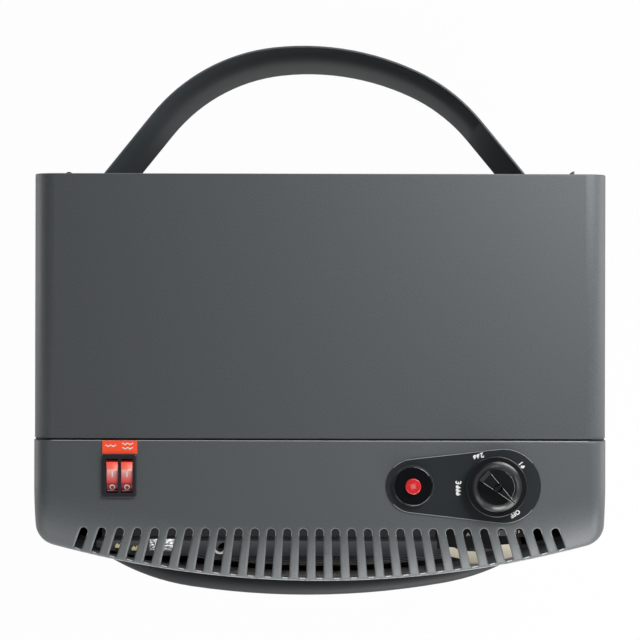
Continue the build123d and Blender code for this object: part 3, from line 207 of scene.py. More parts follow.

# %% [markdown]
# ## Sheet with painted shade behind the console
# The sheets behind the console are seen only through its slots and lie in its shade, which is painted into
# their colour. It could be painted by hand, but a rule is shorter and fits every sheet: where a face looks
# up, and its height lies in the shaded band, the finish turns to a dull near black, while upright faces keep
# their colour. The deflector is painted this dark all over except on its raised lip.

# %% Sheets with painted shade
painted_shade_black = "08090a"
shade_slope_shares = (0.3, 0.7)
stained_share = 0.7
shade_band_depth, lip_depth = 50 * mm, 5 * mm
cabinet_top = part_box("front_console")[1][2]
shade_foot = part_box("front_fascia")[1][2] - shade_band_depth
lip_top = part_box("heat_deflector")[1][2]
ground = 0.0


def with_painted_shade(name, colour, roughness, metallic, low, high):
    """Sheet whose upward faces between two heights are painted near black as shade."""
    made, tree = new_material(name)
    facing = node(tree, "ShaderNodeSeparateXYZ", {
        "Vector": node(tree, "ShaderNodeNewGeometry").outputs["Normal"]})
    upward = node(tree, "ShaderNodeMapRange", {
        "Value": facing.outputs["Z"], "From Min": shade_slope_shares[0], "From Max": shade_slope_shares[1]})
    place = node(tree, "ShaderNodeTexCoord").outputs["Object"]
    height = node(tree, "ShaderNodeSeparateXYZ", {"Vector": place}).outputs["Z"]
    above = node(tree, "ShaderNodeMath", {0: height, 1: low}, operation="GREATER_THAN")
    below = node(tree, "ShaderNodeMath", {0: height, 1: high}, operation="LESS_THAN")
    within = node(tree, "ShaderNodeMath", {0: above.outputs["Value"], 1: below.outputs["Value"]},
                  operation="MULTIPLY")
    painted_shade = node(tree, "ShaderNodeMath", {0: upward.outputs["Result"], 1: within.outputs["Value"]},
                operation="MULTIPLY")
    unshaded = speckled(tree, linear(colour), dimmed(colour, stained_share), drawn_grain)[1]
    shade = node(tree, "ShaderNodeMix", {"Factor": painted_shade.outputs["Value"], "A": unshaded,
                                         "B": linear(painted_shade_black)}, data_type="RGBA")
    surface = {"Base Color": shade.outputs["Result"], "Roughness": roughness}
    if metallic:
        surface["Metallic"] = node(tree, "ShaderNodeMath", {0: 1.0, 1: painted_shade.outputs["Value"]},
                                   operation="SUBTRACT").outputs["Value"]
    finish_material(tree, node(tree, "ShaderNodeBsdfPrincipled", surface))
    return made


# Painted shade: the reflector and the fascia turn near black on their upward faces behind the console, and
# the deflector does below its lip.
bright_steel_painted_shade = with_painted_shade("bright_steel_painted_shade", "b9bab8", 0.25, True, shade_foot, cabinet_top)
powder_coat_painted_shade = with_painted_shade("powder_coat_painted_shade", "55595b", 0.5, False, shade_foot, cabinet_top)
dark_steel_painted_shade = with_painted_shade("dark_steel_painted_shade", "3a3e41", 0.55, False, ground, lip_top - lip_depth)

# %% [markdown]
# ## Glossy plastics, print and ceramic
# The knob, the igniter's collar and the switch are polished black plastic, and the dial is a dark
# printed plate. They are moulded like the console but in smoother tools, so they take the same
# grained finish with a shallower grain and a lower roughness.

# %% Materials of the controls and the burner face
polished_black_abs = grained("polished_black_abs", "07090b", "040608", 0.13, depth=0.002 * mm)
satin_black_abs = grained("satin_black_abs", "131517", "0f1113", 0.28, depth=0.006 * mm)
switch_black_nylon = grained("switch_black_nylon", "2b2b31", "232329", 0.38, depth=0.01 * mm)
dial_print = grained("dial_print", "262b2e", "1f2427", 0.36, depth=0.006 * mm)
white_ink = grained("white_ink", "f4f4f2", "e8e8e6", 0.5)
# A pale grey for the painted highlights on the knob's edges.
knob_highlight_white = grained("knob_highlight_white", "b8babb", "aeb0b1", 0.5)
# A grey for the painted highlight along the dial's edge.
dial_edge_highlight_grey = grained("dial_edge_highlight_grey", "9a9d9f", "8f9294", 0.4)
pale_red_ink = grained("pale_red_ink", "dc6a66", "d65f5c", 0.45)
seal_rubber_dark = grained("seal_rubber_dark", "141516", "101112", 0.7)
# A grey for the painted highlight round the igniter's collar.
collar_highlight_grey = grained("collar_highlight_grey", "4c5052", "424648", 0.5)
# A black for the painted shade in the seam.
seam_shade_black = grained("seam_shade_black", "0c0d0e", "08090a", 0.7)
cream_ceramic = grained("cream_ceramic", "f0e8d4", "e6dcc4", 0.45)
straw_nylon = grained("straw_nylon", "dccd9c", "cfbf8a", 0.45)
white_ceramic = grained("white_ceramic", "ece9e2", "e2dfd8", 0.3)

# %% [markdown]
# ## Signal orange and red
# The heat label is screen-printed with a signal orange ink. A weak glow of the same colour is added to it,
# painted light that makes the label brighter than the lamps alone make it. The igniter's button is red
# plastic that lets light in a little way. Light scattered inside shows as a soft, deep colour that paint
# alone wouldn't give, so it gets some subsurface scattering under a clear coat.

# %% Materials of the label and the button
label_painted_glow = 0.15
button_clouds = 3 * mm


def print_with_painted_glow(name, colour, glow):
    """Screen-printed signal ink with a weak painted glow."""
    made, tree = new_material(name)
    shade = speckled(tree, linear(colour), linear(glow), drawn_grain)[1]
    shader = node(tree, "ShaderNodeBsdfPrincipled", {
        "Base Color": shade, "Roughness": 0.5, "Emission Color": linear(glow),
        "Emission Strength": label_painted_glow})
    finish_material(tree, shader)
    return made


def red_plastic(name, colour, deep_colour, roughness):
    """Red plastic that scatters light a little way inside, with a polished skin."""
    made, tree = new_material(name)
    place = node(tree, "ShaderNodeTexCoord").outputs["Object"]
    clouds = node(tree, "ShaderNodeTexNoise", {"Vector": place, "Scale": 1 / button_clouds, "Detail": 1.0})
    shade = node(tree, "ShaderNodeMix", {"Factor": clouds.outputs["Fac"], "A": linear(deep_colour),
                                         "B": linear(colour)}, data_type="RGBA")
    shader = node(tree, "ShaderNodeBsdfPrincipled", {
        "Base Color": shade.outputs["Result"], "Roughness": roughness, "IOR": 1.49,
        "Subsurface Weight": 0.25, "Subsurface Radius": (3 * mm, 0.8 * mm, 0.5 * mm),
        "Subsurface Scale": 1.0, "Coat Weight": 0.5, "Coat Roughness": 0.12})
    finish_material(tree, shader)
    return made


# The label's glow is painted light.
orange_print = print_with_painted_glow("orange_print", "ff5c33", "f84a28")
button_red = red_plastic("button_red", "d8262b", "c21d24", 0.35)

# %% [markdown]
# ## The rockers' lenses
# A rocker is a lens of red acrylic. A colour ramp along its length paints the light and shade of its bent
# faces into its colour. The pale pink band in the middle is a painted reflection, the lens is orange-red
# towards the upper end, and the deep red at the lower end is painted shade where the lens sinks into the
# housing. A weak glow of the same colours is painted light too, since no lamp is modelled inside. The lens
# is only about 34 pixels long, so the ramp is laid in the node's own metres.

# %% Material of the rockers
rocker_low, rocker_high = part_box("rocker_left")
lens_painted_glow = 0.12
# Lens colours along its length, with a painted reflection in the middle and painted shade at the lower end.
lens_colours_and_painted_light = [(0.0, "c01c26"), (0.1, "981c24"), (0.25, "8a2429"), (0.3, "cf4744"), (0.5, "dc7d78"),
               (0.69, "eeb1ae"), (0.71, "ff6f59"), (0.93, "fb5f4c"), (0.95, "8a1a20"), (1.0, "701419")]


def lens_with_painted_light(name, shades, low, high):
    """Red acrylic with painted light and shade laid along y between low and high, and a painted glow."""
    made, tree = new_material(name)
    place = node(tree, "ShaderNodeTexCoord").outputs["Object"]
    along = node(tree, "ShaderNodeSeparateXYZ", {"Vector": place})
    share = node(tree, "ShaderNodeMapRange", {"Value": along.outputs["Y"], "From Min": low,
                                              "From Max": high})
    ramp = node(tree, "ShaderNodeValToRGB", {"Fac": share.outputs["Result"]})
    while len(ramp.color_ramp.elements) < len(shades):
        ramp.color_ramp.elements.new(1.0)
    for stop, (position, hex_code) in zip(ramp.color_ramp.elements, shades):
        stop.position = position
        stop.color = linear(hex_code)
    shader = node(tree, "ShaderNodeBsdfPrincipled", {
        "Base Color": ramp.outputs["Color"], "Roughness": 0.3, "IOR": 1.49, "Coat Weight": 0.4,
        "Coat Roughness": 0.15, "Emission Color": ramp.outputs["Color"], "Emission Strength": lens_painted_glow})
    finish_material(tree, shader)
    return made


rocker_acrylic = lens_with_painted_light("rocker_acrylic", lens_colours_and_painted_light, rocker_low[1], rocker_high[1])

# %% [markdown]
# ## Pressed ceramic
# The plaques are pressed ceramic with rows of flame ports. Thousands of modelled holes would weigh more than
# the rest of the heater, so the ports are a regular Voronoi grid, sunk by a bump and painted dark brown as
# the shade inside the holes. Real ports are about 1 mm wide and 2 mm apart, and they are drawn twice as
# coarse, so that they show.

# %% Material of the plaques
port_pitch = 4 * mm
port_share, port_rim_share = 0.22, 0.34


def perforated_ceramic(name, pitch):
    """Pressed ceramic with a grid of round ports, pitch apart."""
    made, tree = new_material(name)
    place = node(tree, "ShaderNodeTexCoord").outputs["Object"]
    ports = node(tree, "ShaderNodeTexVoronoi", {"Vector": place, "Scale": 1 / pitch, "Randomness": 0.0})
    hole = node(tree, "ShaderNodeMapRange", {"Value": ports.outputs["Distance"], "From Min": port_share,
                                             "From Max": port_rim_share})
    # The ports' dark brown is painted shade inside the holes.
    shade = node(tree, "ShaderNodeMix", {"Factor": hole.outputs["Result"], "A": linear("5c4a3a"),
                                         "B": linear("dccfb4")}, data_type="RGBA")
    height = node(tree, "ShaderNodeBump", {"Height": hole.outputs["Result"], "Distance": pitch / 4,
                                           "Strength": 0.8})
    shader = node(tree, "ShaderNodeBsdfPrincipled", {
        "Base Color": shade.outputs["Result"], "Roughness": 0.85, "Normal": height.outputs["Normal"]})
    finish_material(tree, shader)
    return made


plaque_ceramic = perforated_ceramic("plaque_ceramic", port_pitch)

# %% [markdown]
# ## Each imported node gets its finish
# A table pairs every finish with the nodes that wear it, so one can see at a glance what is made of
# what. Assigning to a material slot changes the look and leaves the mesh alone.

# %% Assign the finishes
finishes = {
    powder_coated_steel: ["rear_casing", "lower_front_panel"],
    powder_coat_painted_shade: ["front_fascia"],
    moulded_abs: ["front_console"],
    black_stove_paint: ["fire_guard"],
    hoop_paint: ["bottle_guard"],
    castor_paint: ["guard_hinge_leaves", "castor_plates", "base_tray"],
    nylon: ["guard_magnets"],
    dark_steel_painted_shade: ["heat_deflector"],
    galvanised_steel: ["burner_rails", "injector_shelf", "blower_housing", "pilot_burner",
                       "bulkhead"],
    polished_steel: ["guard_hinge_pins"],
    black_oxide_steel: ["valve_stem"],
    bright_steel_painted_shade: ["reflector"],
    aluminised_steel: ["burner_left", "burner_centre", "burner_right"],
    zinc_plate: ["panel_screws", "castor_screws", "thermal_cutout"],
    plaque_ceramic: ["ceramic_plaques"],
    turned_brass: ["injectors", "hose_nozzle", "switch_terminals"],
    drawn_copper: ["burner_pipes", "pilot_pipe", "thermocouple"],
    die_cast_aluminium: ["gas_valve", "blower_motor"],
    fan_aluminium: ["blower_impeller"],
    heater_sheath: ["heating_element_lower", "heating_element_upper"],
    dial_print: ["dial_plate"],
    satin_black_abs: ["control_knob"],
    polished_black_abs: ["piezo_collar"],
    button_red: ["piezo_button"],
    rocker_acrylic: ["rocker_left", "rocker_right"],
    switch_black_nylon: ["switch_housing", "terminal_block", "tilt_switch", "mains_gland", "piezo_body"],
    orange_print: ["heat_label"],
    white_ceramic: ["spark_electrode", "ignition_lead"],
}
corners = ("front_left", "rear_left", "front_right", "rear_right")
finishes[castor_paint] += [f"castor_fork_{corner}" for corner in corners]
finishes[nylon] += [f"castor_wheel_{corner}" for corner in corners]

for finish, names in finishes.items():
    for name in names:
        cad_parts[name].data.materials.clear()
        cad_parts[name].data.materials.append(finish)
undressed = set(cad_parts) - {name for names in finishes.values() for name in names}
print("nodes without a finish:", undressed or "none")

# %% [markdown]
# ## Rounded edges on the pieces that show
# Sheet that has been cut and painted has an edge radius of about a quarter of a millimetre or more,
# and it is this round that catches the light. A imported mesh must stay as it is, so the edges are
# rounded by modifiers: loose corners on the two sides of an edge are joined, flat triangles are
# merged, and the sharp edges that are left get a small round. The width is given for each node.
# Small and hidden nodes keep their sharp edges, where nobody would see more, and so does the
# console, whose finish rounds its edges in the shading.

# %% Round the edges
joined_reach = 0.005 * mm
flat_angle, sharp_angle = math.radians(0.3), math.radians(50)
edge_segments = 2
edge_widths = {
    "rear_casing": 0.6 * mm, "bottle_guard": 0.8 * mm, "fire_guard": 0.5 * mm,
    "front_fascia": 0.5 * mm, "lower_front_panel": 0.5 * mm, "switch_housing": 0.5 * mm,
    "rocker_left": 0.4 * mm, "rocker_right": 0.4 * mm, "heat_deflector": 0.4 * mm, "dial_plate": 0.25 * mm,
    "base_tray": 0.4 * mm,
}
for name, width in edge_widths.items():
    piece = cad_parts[name]
    join = piece.modifiers.new("join_corners", "WELD")
    join.merge_threshold = joined_reach
    merge = piece.modifiers.new("merge_flat", "DECIMATE")
    merge.decimate_type = "DISSOLVE"
    merge.angle_limit = flat_angle
    rounding = piece.modifiers.new("rounded_edges", "BEVEL")
    rounding.width = width
    rounding.segments = edge_segments
    rounding.limit_method = "ANGLE"
    rounding.angle_limit = sharp_angle
print("nodes with rounded edges:", len(edge_widths))

# %% [markdown]
# ## The picture's frame
# The photograph looks straight down from about 1.9 m above the top. Its frame spans 472 mm there,
# which sets the focal length. The camera stands a little to the right of the picture's middle, and
# the lens is shifted by that much, so that vertical faces show as they do there. The photograph is
# also turned by an eighth of a degree, which shows along the straight rear edge. The small things
# seen through the slots are placed by where they lie in the picture, at the height of what
# carries them.

# %% Values of the picture's frame
view_height = 1900 * mm
frame_span = 472.3 * mm
camera_x, camera_y = 25.4 * mm, 1.9 * mm
picture_x, picture_y = 0.05 * mm, -1.5 * mm
camera_roll = math.radians(0.13)
picture_pixels = 640
pixel = frame_span / picture_pixels


def from_picture(column, row, height):
    """Where a picture point lies on the level plane at that height."""
    flat = Vector((picture_x + (column - picture_pixels / 2) * pixel,
                   picture_y + (picture_pixels / 2 - row) * pixel))
    stand = Vector((camera_x, camera_y))
    return stand + (flat - stand) * (cabinet_top + view_height - height) / view_height


print("a pixel at the cabinet's top, mm:", round(pixel / mm, 3))

# %% [markdown]
# ## Laying fine things on a surface
# Print is a film of ink about a twentieth of a millimetre thick. A picture texture would need UV
# maps, so it is modelled instead: each stroke is a thin closed ribbon whose corners are dropped
# onto the node below by casting a ray from above. That way a mark follows a slope or a curve and
# touches what carries it, whatever side one looks from.

# %% Strokes and blots laid on a node
ink_depth = 0.06 * mm
cast_height = 2.0
mitre_share = 0.5
node_skins = {}


def height_on(name, x, y):
    """Height of a node's uppermost surface at a place."""
    if name not in node_skins:
        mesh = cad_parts[name].data
        node_skins[name] = BVHTree.FromPolygons([corner.co for corner in mesh.vertices],
                                                [face.vertices for face in mesh.polygons])
    place = node_skins[name].ray_cast(Vector((x, y, cast_height)), Vector((0, 0, -1)))[0]
    return place[2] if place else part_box(name)[1][2]


def add_stroke(form, points, width, carrier, closed=False, depth=ink_depth):
    """Adds a flat ribbon along points, laid on its carrier node."""
    points = [Vector(point) for point in points]
    count = len(points)
    rings = []
    for place, point in enumerate(points):
        ahead = points[(place + 1) % count] - point if closed or place + 1 < count else None
        behind = point - points[place - 1] if closed or place else None
        steps = [step.normalized() for step in (ahead, behind) if step is not None]
        way = sum(steps, Vector((0, 0))).normalized()
        across = Vector((-way[1], way[0])) * width / 2 / max(way.dot(steps[0]), mitre_share)
        ring = []
        for side, lift in ((1, depth), (-1, depth), (-1, -depth), (1, -depth)):
            spot = point + across * side
            ring.append(form.verts.new((spot[0], spot[1], height_on(carrier, *spot) + lift)))
        rings.append(ring)
    for place in range(count if closed else count - 1):
        first, second = rings[place], rings[(place + 1) % count]
        for side in range(4):
            form.faces.new((first[side], first[(side + 1) % 4], second[(side + 1) % 4], second[side]))
    if not closed:
        form.faces.new(rings[0])
        form.faces.new(rings[-1][::-1])


def add_plate(form, upper_places, lower_places):
    """Adds a closed plate between two outlines with the same number of corners."""
    upper = [form.verts.new(place) for place in upper_places]
    lower = [form.verts.new(place) for place in lower_places]
    form.faces.new(upper)
    form.faces.new(lower[::-1])
    for place in range(len(upper)):
        after = (place + 1) % len(upper)
        form.faces.new((upper[place], lower[place], lower[after], upper[after]))


def add_blot(form, outline, carrier, depth=ink_depth):
    """Adds a filled flat shape with the given outline, laid on its carrier node."""
    heights = [height_on(carrier, x, y) for x, y in outline]
    add_plate(form, [(x, y, height + depth) for (x, y), height in zip(outline, heights)],
              [(x, y, height - depth) for (x, y), height in zip(outline, heights)])


# %% [markdown]
# Every added piece goes through the same last steps: it gets its finish and the body that it moves with.

# %% Finishing a piece


def dress(made, finish, body):
    """Shows a piece that is in its place, gives it its finish and lets it ride a body."""
    bpy.context.collection.objects.link(made)
    made.data.materials.append(finish)
    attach(made, body)
    print(made.name, "rides", body)


def place_piece(name, form, finish, body):
    """Turns finished mesh code into a piece that rides a body."""
    mesh = bpy.data.meshes.new(name)
    bmesh.ops.recalc_face_normals(form, faces=form.faces)
    form.to_mesh(mesh)
    form.free()
    dress(bpy.data.objects.new(name, mesh), finish, body)


# %% [markdown]
# ## The dial's numbers and flames
# The marks are read from the middle outwards as the knob turns: OFF, then one, two and three flames
# for one, two or three burners. The figures could be drawn as strokes, but text objects keep the
# true curves of their letters. A flame is a teardrop curve: a sine pinched towards one end. Places
# are measured from the knob's axis.

# %% Print the dial


def middle(name):
    """Middle of a node's box from above, and the height of its top."""
    low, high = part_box(name)
    return Vector(((low[0] + high[0]) / 2, (low[1] + high[1]) / 2, high[2]))


knob = middle("control_knob")
plate_low, plate_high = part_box("dial_plate")
cap_share, figure_step_share = 0.69, 0.62
figure_weight = 0.2 * mm
flame_step, flame_width = 2.5 * mm, 1.7 * mm
flame_points = 24
flame_pinch = 1.4
flame_lean_share = 0.25
# Name, figures, number of flames, place from the knob's axis, turn in degrees and height of the figures
dial_marks = [
    ("off", "OFF", 0, (13.7 * mm, -20.5 * mm), 212, 3.0 * mm),
    ("one", "1", 1, (18.8 * mm, 15.6 * mm), -53, 3.2 * mm),
    ("two", "2", 2, (-13.4 * mm, 22.1 * mm), 196, 3.5 * mm),
    ("three", "3", 3, (-28.0 * mm, -1.5 * mm), -90, 4.0 * mm),
]


def turned(place, angle, centre):
    """A point of a mark's own drawing, turned and moved onto the object."""
    along = Vector((math.cos(angle), math.sin(angle)))
    return Vector(centre[:2]) + along * place[0] + Vector((-along[1], along[0])) * place[1]


def flame(height, centre, angle):
    """Outline of a teardrop flame, its tip upwards in the mark's own drawing."""
    outline = []
    for step in range(flame_points):
        turn = 2 * math.pi * step / flame_points
        swell = math.sin(turn) * math.sin(turn / 2) ** flame_pinch
        lean = flame_lean_share * flame_width * math.cos(turn)
        place = (centre + flame_width * swell + lean, height / 2 * math.cos(turn))
        outline.append(turned(place, angle, (0, 0)))
    return outline


for label, figures, flames, offset, degrees, cap_height in dial_marks:
    angle = math.radians(degrees)
    centre = knob + Vector((*offset, 0))
    size = cap_height / cap_share
    text_width = len(figures) * figure_step_share * size
    start = -(text_width + flames * flame_step) / 2
    letters = bpy.data.curves.new(f"dial_mark_{label}", "FONT")
    letters.body = figures
    letters.size = size
    letters.extrude = ink_depth
    letters.offset = figure_weight
    mark = bpy.data.objects.new(f"dial_mark_{label}", letters)
    corner = turned((start, -cap_height / 2), angle, centre)
    mark.location = (corner[0], corner[1], plate_high[2])
    mark.rotation_euler = (0, 0, angle)
    dress(mark, white_ink, "cabinet")
    if flames:
        form = bmesh.new()
        for number in range(flames):
            middle_of_flame = start + text_width + (number + 0.5) * flame_step
            outline = [spot + centre.xy for spot in flame(cap_height, middle_of_flame, angle)]
            add_blot(form, outline, "dial_plate")
        place_piece(f"dial_flames_{label}", form, white_ink, "cabinet")

# %% [markdown]
# ## The dial's light edge
# The dial plate is a sheet with a big round end under the knob and a small one under the igniter. Its edge
# catches the light in a pale line along both straight sides, which runs on a little way round the ends. It
# could be a bright bevel on the plate, but the plate is only 0.8 mm thick, so the line is a painted
# highlight, a grey stroke just inside the edge. The straight sides touch both circles.

# %% Draw the dial edge's painted highlight
igniter = middle("piezo_collar")
line_width, line_inset = 0.42 * mm, 0.3 * mm
big_radius = (plate_high[1] - plate_low[1]) / 2
big_centre = Vector((plate_high[0] - big_radius, knob[1]))
small_centre = Vector((igniter[0], knob[1]))
small_radius = small_centre[0] - plate_low[0]
touch_angle = math.pi / 2 + math.asin((big_radius - small_radius) / (big_centre[0] - small_centre[0]))
# How far the lines run on round the two ends, in radians
small_run, big_run = 0.7, 1.0
small_run_steps, big_run_steps = 10, 20


def arc(centre, radius, start, end, steps):
    """Points along an arc from one angle to another, in radians."""
    angles = [start + (end - start) * step / steps for step in range(steps + 1)]
    return [Vector(centre) + radius * Vector((math.cos(angle), math.sin(angle))) for angle in angles]


form = bmesh.new()
for side in (1, -1):
    path = arc(small_centre, small_radius - line_inset, side * (touch_angle + small_run), side * touch_angle,
               small_run_steps)
    path += arc(big_centre, big_radius - line_inset, side * touch_angle, side * (touch_angle - big_run),
                big_run_steps)
    add_stroke(form, path, line_width, "dial_plate")
place_piece("dial_edge_highlights", form, dial_edge_highlight_grey, "cabinet")

# %% [markdown]
# ## Painted highlights on the knob
# A pale line along each side of the grip's top is a painted highlight of its edges. They meet at the tip and
# point at the dial, and they stop on both sides of the hole that the stem comes up through. A third, finer
# line follows the edge of the knob's dished hub, a painted highlight of that edge too. All three are strokes
# on the knob, so they turn and sink with it.

# %% Draw the knob's painted highlights
grip_highlight_width = 0.22 * mm
grip_highlight_steps = 48
stem_gap = 0.4 * mm
stem_low, stem_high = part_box("valve_stem")
stem_clearance = (stem_high[0] - stem_low[0]) / 2 + stem_gap
grip_angle = math.radians(-42)
grip_start, grip_end = -10.4 * mm, 16.4 * mm
grip_start_half, grip_end_half = 4.2 * mm, 0.35 * mm
hub_highlight_radius, hub_highlight_width = 12.6 * mm, 0.14 * mm
hub_highlight_start, hub_highlight_end = math.radians(-52), math.radians(62)
hub_highlight_steps = 19


def between(start, end, steps):
    """Evenly spaced points of a straight line."""
    return [Vector(start).lerp(Vector(end), step / steps) for step in range(steps + 1)]


form = bmesh.new()
for side in (1, -1):
    drawing = between((grip_start, side * grip_start_half), (grip_end, side * grip_end_half),
                      grip_highlight_steps)
    clear = [spot for spot in drawing if spot.length > stem_clearance]
    for part in ([spot for spot in clear if spot[0] < 0], [spot for spot in clear if spot[0] > 0]):
        add_stroke(form, [turned(spot, grip_angle, knob) for spot in part], grip_highlight_width, "control_knob")
hub_path = arc(knob.xy, hub_highlight_radius, hub_highlight_start, hub_highlight_end, hub_highlight_steps)
add_stroke(form, hub_path, hub_highlight_width, "control_knob")
place_piece("knob_highlights", form, knob_highlight_white, "control_knob")

# %% [markdown]
# ## A painted highlight round the igniter, and the spark on its button
# A thin grey ring round the foot of the igniter's collar is a painted highlight of the collar's edge. A
# torus would do, but a closed stroke is already at hand and lies flat on the plate. The red button carries a
# small spark star in a paler red, pad-printed on its slightly domed end. Its rays are long and short in
# turn, so that it reads as a spark at a size of seven millimetres.

# %% Lay the collar's painted highlight and print the spark
collar_low, collar_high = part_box("piezo_collar")
collar_highlight_radius = (collar_high[0] - collar_low[0] + line_width) / 2
collar_highlight_depth = 0.3 * mm
collar_highlight_points = 48


def ring(centre, radius, points):
    """Points of a full circle."""
    return arc(centre, radius, 0, 2 * math.pi, points)[:-1]


form = bmesh.new()
add_stroke(form, ring(small_centre, collar_highlight_radius, collar_highlight_points), line_width, "dial_plate", closed=True,
           depth=collar_highlight_depth)
place_piece("collar_edge_highlight", form, collar_highlight_grey, "cabinet")

spark_rays = 8
spark_long, spark_short, spark_waist = 3.5 * mm, 2.5 * mm, 1.4 * mm
spark_tilt = 0.2
outline = []
for step in range(spark_rays * 2):
    turn = math.pi * step / spark_rays + spark_tilt
    reach = spark_waist if step % 2 else (spark_long if step % 4 else spark_short)
    outline.append(small_centre + reach * Vector((math.cos(turn), math.sin(turn))))
form = bmesh.new()
add_blot(form, outline, "piezo_button")
place_piece("spark_star", form, pale_red_ink, "piezo_button")

# %% [markdown]
# ## The rockers' marks
# Each rocker is marked I for on and O for off. The marks are printed in white across the bent face. Flat
# text would hang over the bend, so they are strokes, whose points are near enough to follow it. A white
# stroke across each rocker's lower end is a painted highlight of the lit front edge of the switch's window.

# %% Print the rockers
mark_on = (3.5 * mm, -0.8 * mm)
mark_off_y, mark_off_radius = -8.4 * mm, 1.7 * mm
mark_width = 0.7 * mm
mark_on_steps, mark_off_points, window_highlight_steps = 8, 24, 6
window_highlight_half, window_highlight_inset, window_highlight_width = 3.6 * mm, 0.9 * mm, 0.4 * mm
for side in ("left", "right"):
    name = f"rocker_{side}"
    x, y, _ = middle(name)
    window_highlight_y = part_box(name)[0][1] + window_highlight_inset
    form = bmesh.new()
    add_stroke(form, between((x, y + mark_on[0]), (x, y + mark_on[1]), mark_on_steps), mark_width, name)
    add_stroke(form, ring((x, y + mark_off_y), mark_off_radius, mark_off_points), mark_width, name,
               closed=True)
    # A painted highlight of the window's front edge, across the rocker's lower end.
    add_stroke(form, between((x - window_highlight_half, window_highlight_y), (x + window_highlight_half, window_highlight_y), window_highlight_steps),
               window_highlight_width, name)
    place_piece(f"rocker_marks_and_highlight_{side}", form, white_ink, name)

# %% [markdown]
# ## The heat sign
# The orange label has one wave over the first switch, for one heating element, and two over the
# second. A wave is a cosine drawn as one stroke, which is simpler and smoother than a row of arcs.

# %% Print the label
label = middle("heat_label")
wave_length, wave_height, wave_count = 3.6 * mm, 0.9 * mm, 2.25
wave_width = 0.75 * mm
wave_steps = 27
wave_places = [(-6.6 * mm, 1.0 * mm), (5.8 * mm, 2.4 * mm), (5.8 * mm, -0.8 * mm)]
form = bmesh.new()
for place_x, place_y in wave_places:
    path = []
    for step in range(wave_steps + 1):
        along = (step / wave_steps - 0.5) * wave_count * wave_length
        swing = wave_height / 2 * math.cos(2 * math.pi * along / wave_length)
        path.append(Vector((label[0] + place_x + along, label[1] + place_y + swing)))
    add_stroke(form, path, wave_width, "heat_label")
place_piece("heat_waves", form, white_ink, "cabinet")

# %% [markdown]
# ## The console's rear edge
# The console's rear edge shows as a fine pale line beside the seam, where its round catches the light. The
# line is a painted highlight. A second material on the mesh would mean cutting its faces, so it is laid on
# as a stroke, like the print.

# %% Draw the rear edge's painted highlight
console_low, console_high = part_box("front_console")
highlight_width, highlight_inset, highlight_end_inset = 0.35 * mm, 0.3 * mm, 14 * mm
highlight_steps = 24
highlight_half_length = console_high[0] - highlight_end_inset
highlight_y = console_high[1] - highlight_inset
form = bmesh.new()
add_stroke(form, between((-highlight_half_length, highlight_y), (highlight_half_length, highlight_y), highlight_steps), highlight_width,
           "front_console")
place_piece("rear_edge_highlight", form, edge_highlight_abs, "cabinet")

# %% [markdown]
# ## Painted highlights round the air slots
# A pale stroke round each slot's rounded rear end is a painted highlight of its rounded edge, and a bright
# stroke at its front end is a painted highlight of the wall there. The slots fan out from the rear, one for
# each step of angle. A mesh doesn't tell how it was set out, so the few sizes that place the slots are given
# here once more, and the highlights are strokes laid from them.

# %% Lay the slots' painted highlights
slot_count, slot_step, slot_half_width = 29, math.radians(1.576), 3 * mm
slot_fan_radius = 428 * mm
slot_rear_inset, slot_front_inset = 41 * mm, 3.2 * mm
slot_rear_y = console_low[1] + slot_rear_inset
front_bow = 30.3 * mm
bow_radius = (console_high[0] ** 2 + front_bow ** 2) / (2 * front_bow)
bow_centre = Vector((0, console_low[1] + bow_radius))
rim_highlight_width, rim_highlight_gap, rim_highlight_tail = 0.45 * mm, 0.3 * mm, 2.5 * mm
rim_highlight_steps = 12
slot_end_highlight_half, slot_end_highlight_width = 2.0 * mm, 0.7 * mm
# These two meshes hold painted highlights: round each slot's rear end, and across its front end.
rim_highlights, steps = bmesh.new(), bmesh.new()
for number in range(slot_count):
    lean = (number - (slot_count - 1) / 2) * slot_step
    forward = Vector((math.sin(lean), -math.cos(lean)))
    sideways = Vector((-forward[1], forward[0]))
    rear = Vector((slot_fan_radius * math.tan(lean), slot_rear_y))
    centre = rear + forward * slot_half_width
    reach = slot_half_width + rim_highlight_gap
    tail = forward * rim_highlight_tail
    path = [centre + sideways * reach + tail]
    path += arc(centre, reach, lean, lean + math.pi, rim_highlight_steps)
    path.append(centre - sideways * reach + tail)
    add_stroke(rim_highlights, path, rim_highlight_width, "front_console")
    offset = rear - bow_centre
    along = offset.dot(forward)
    run = -along + math.sqrt(along ** 2 - offset.length_squared + (bow_radius - slot_front_inset) ** 2)
    foot = rear + forward * (run + slot_end_highlight_width)
    add_stroke(steps, [foot - sideways * slot_end_highlight_half, foot, foot + sideways * slot_end_highlight_half], slot_end_highlight_width,
               "front_console")
place_piece("slot_rim_highlights", rim_highlights, rim_highlight_abs, "cabinet")
place_piece("slot_end_highlights", steps, edge_highlight_abs, "cabinet")

# %% [markdown]
# A pale line along the console's front edge is a painted highlight of that edge, like the rear one. It is a
# stroke on the same arc as the edge, just inside it.

# %% Draw the front edge's painted highlight
edge_inset, edge_half_angle = 0.7 * mm, math.radians(14.2)
edge_steps = 60
straight_ahead = -math.pi / 2
path = arc(bow_centre, bow_radius - edge_inset, straight_ahead - edge_half_angle,
           straight_ahead + edge_half_angle, edge_steps)
form = bmesh.new()
add_stroke(form, path, highlight_width, "front_console")
place_piece("front_edge_highlight", form, edge_highlight_abs, "cabinet")

# %% [markdown]
# ## Painted shade in the seam
# Between the rear casing and the console lies a gap of a millimetre and a half, deep in shade. A black strip
# fills it as painted shade. A swept mesh would do, but a curve with a round section is shorter: as wide as
# the gap, resting on the flange below, and bent down round the corners of the two shells.

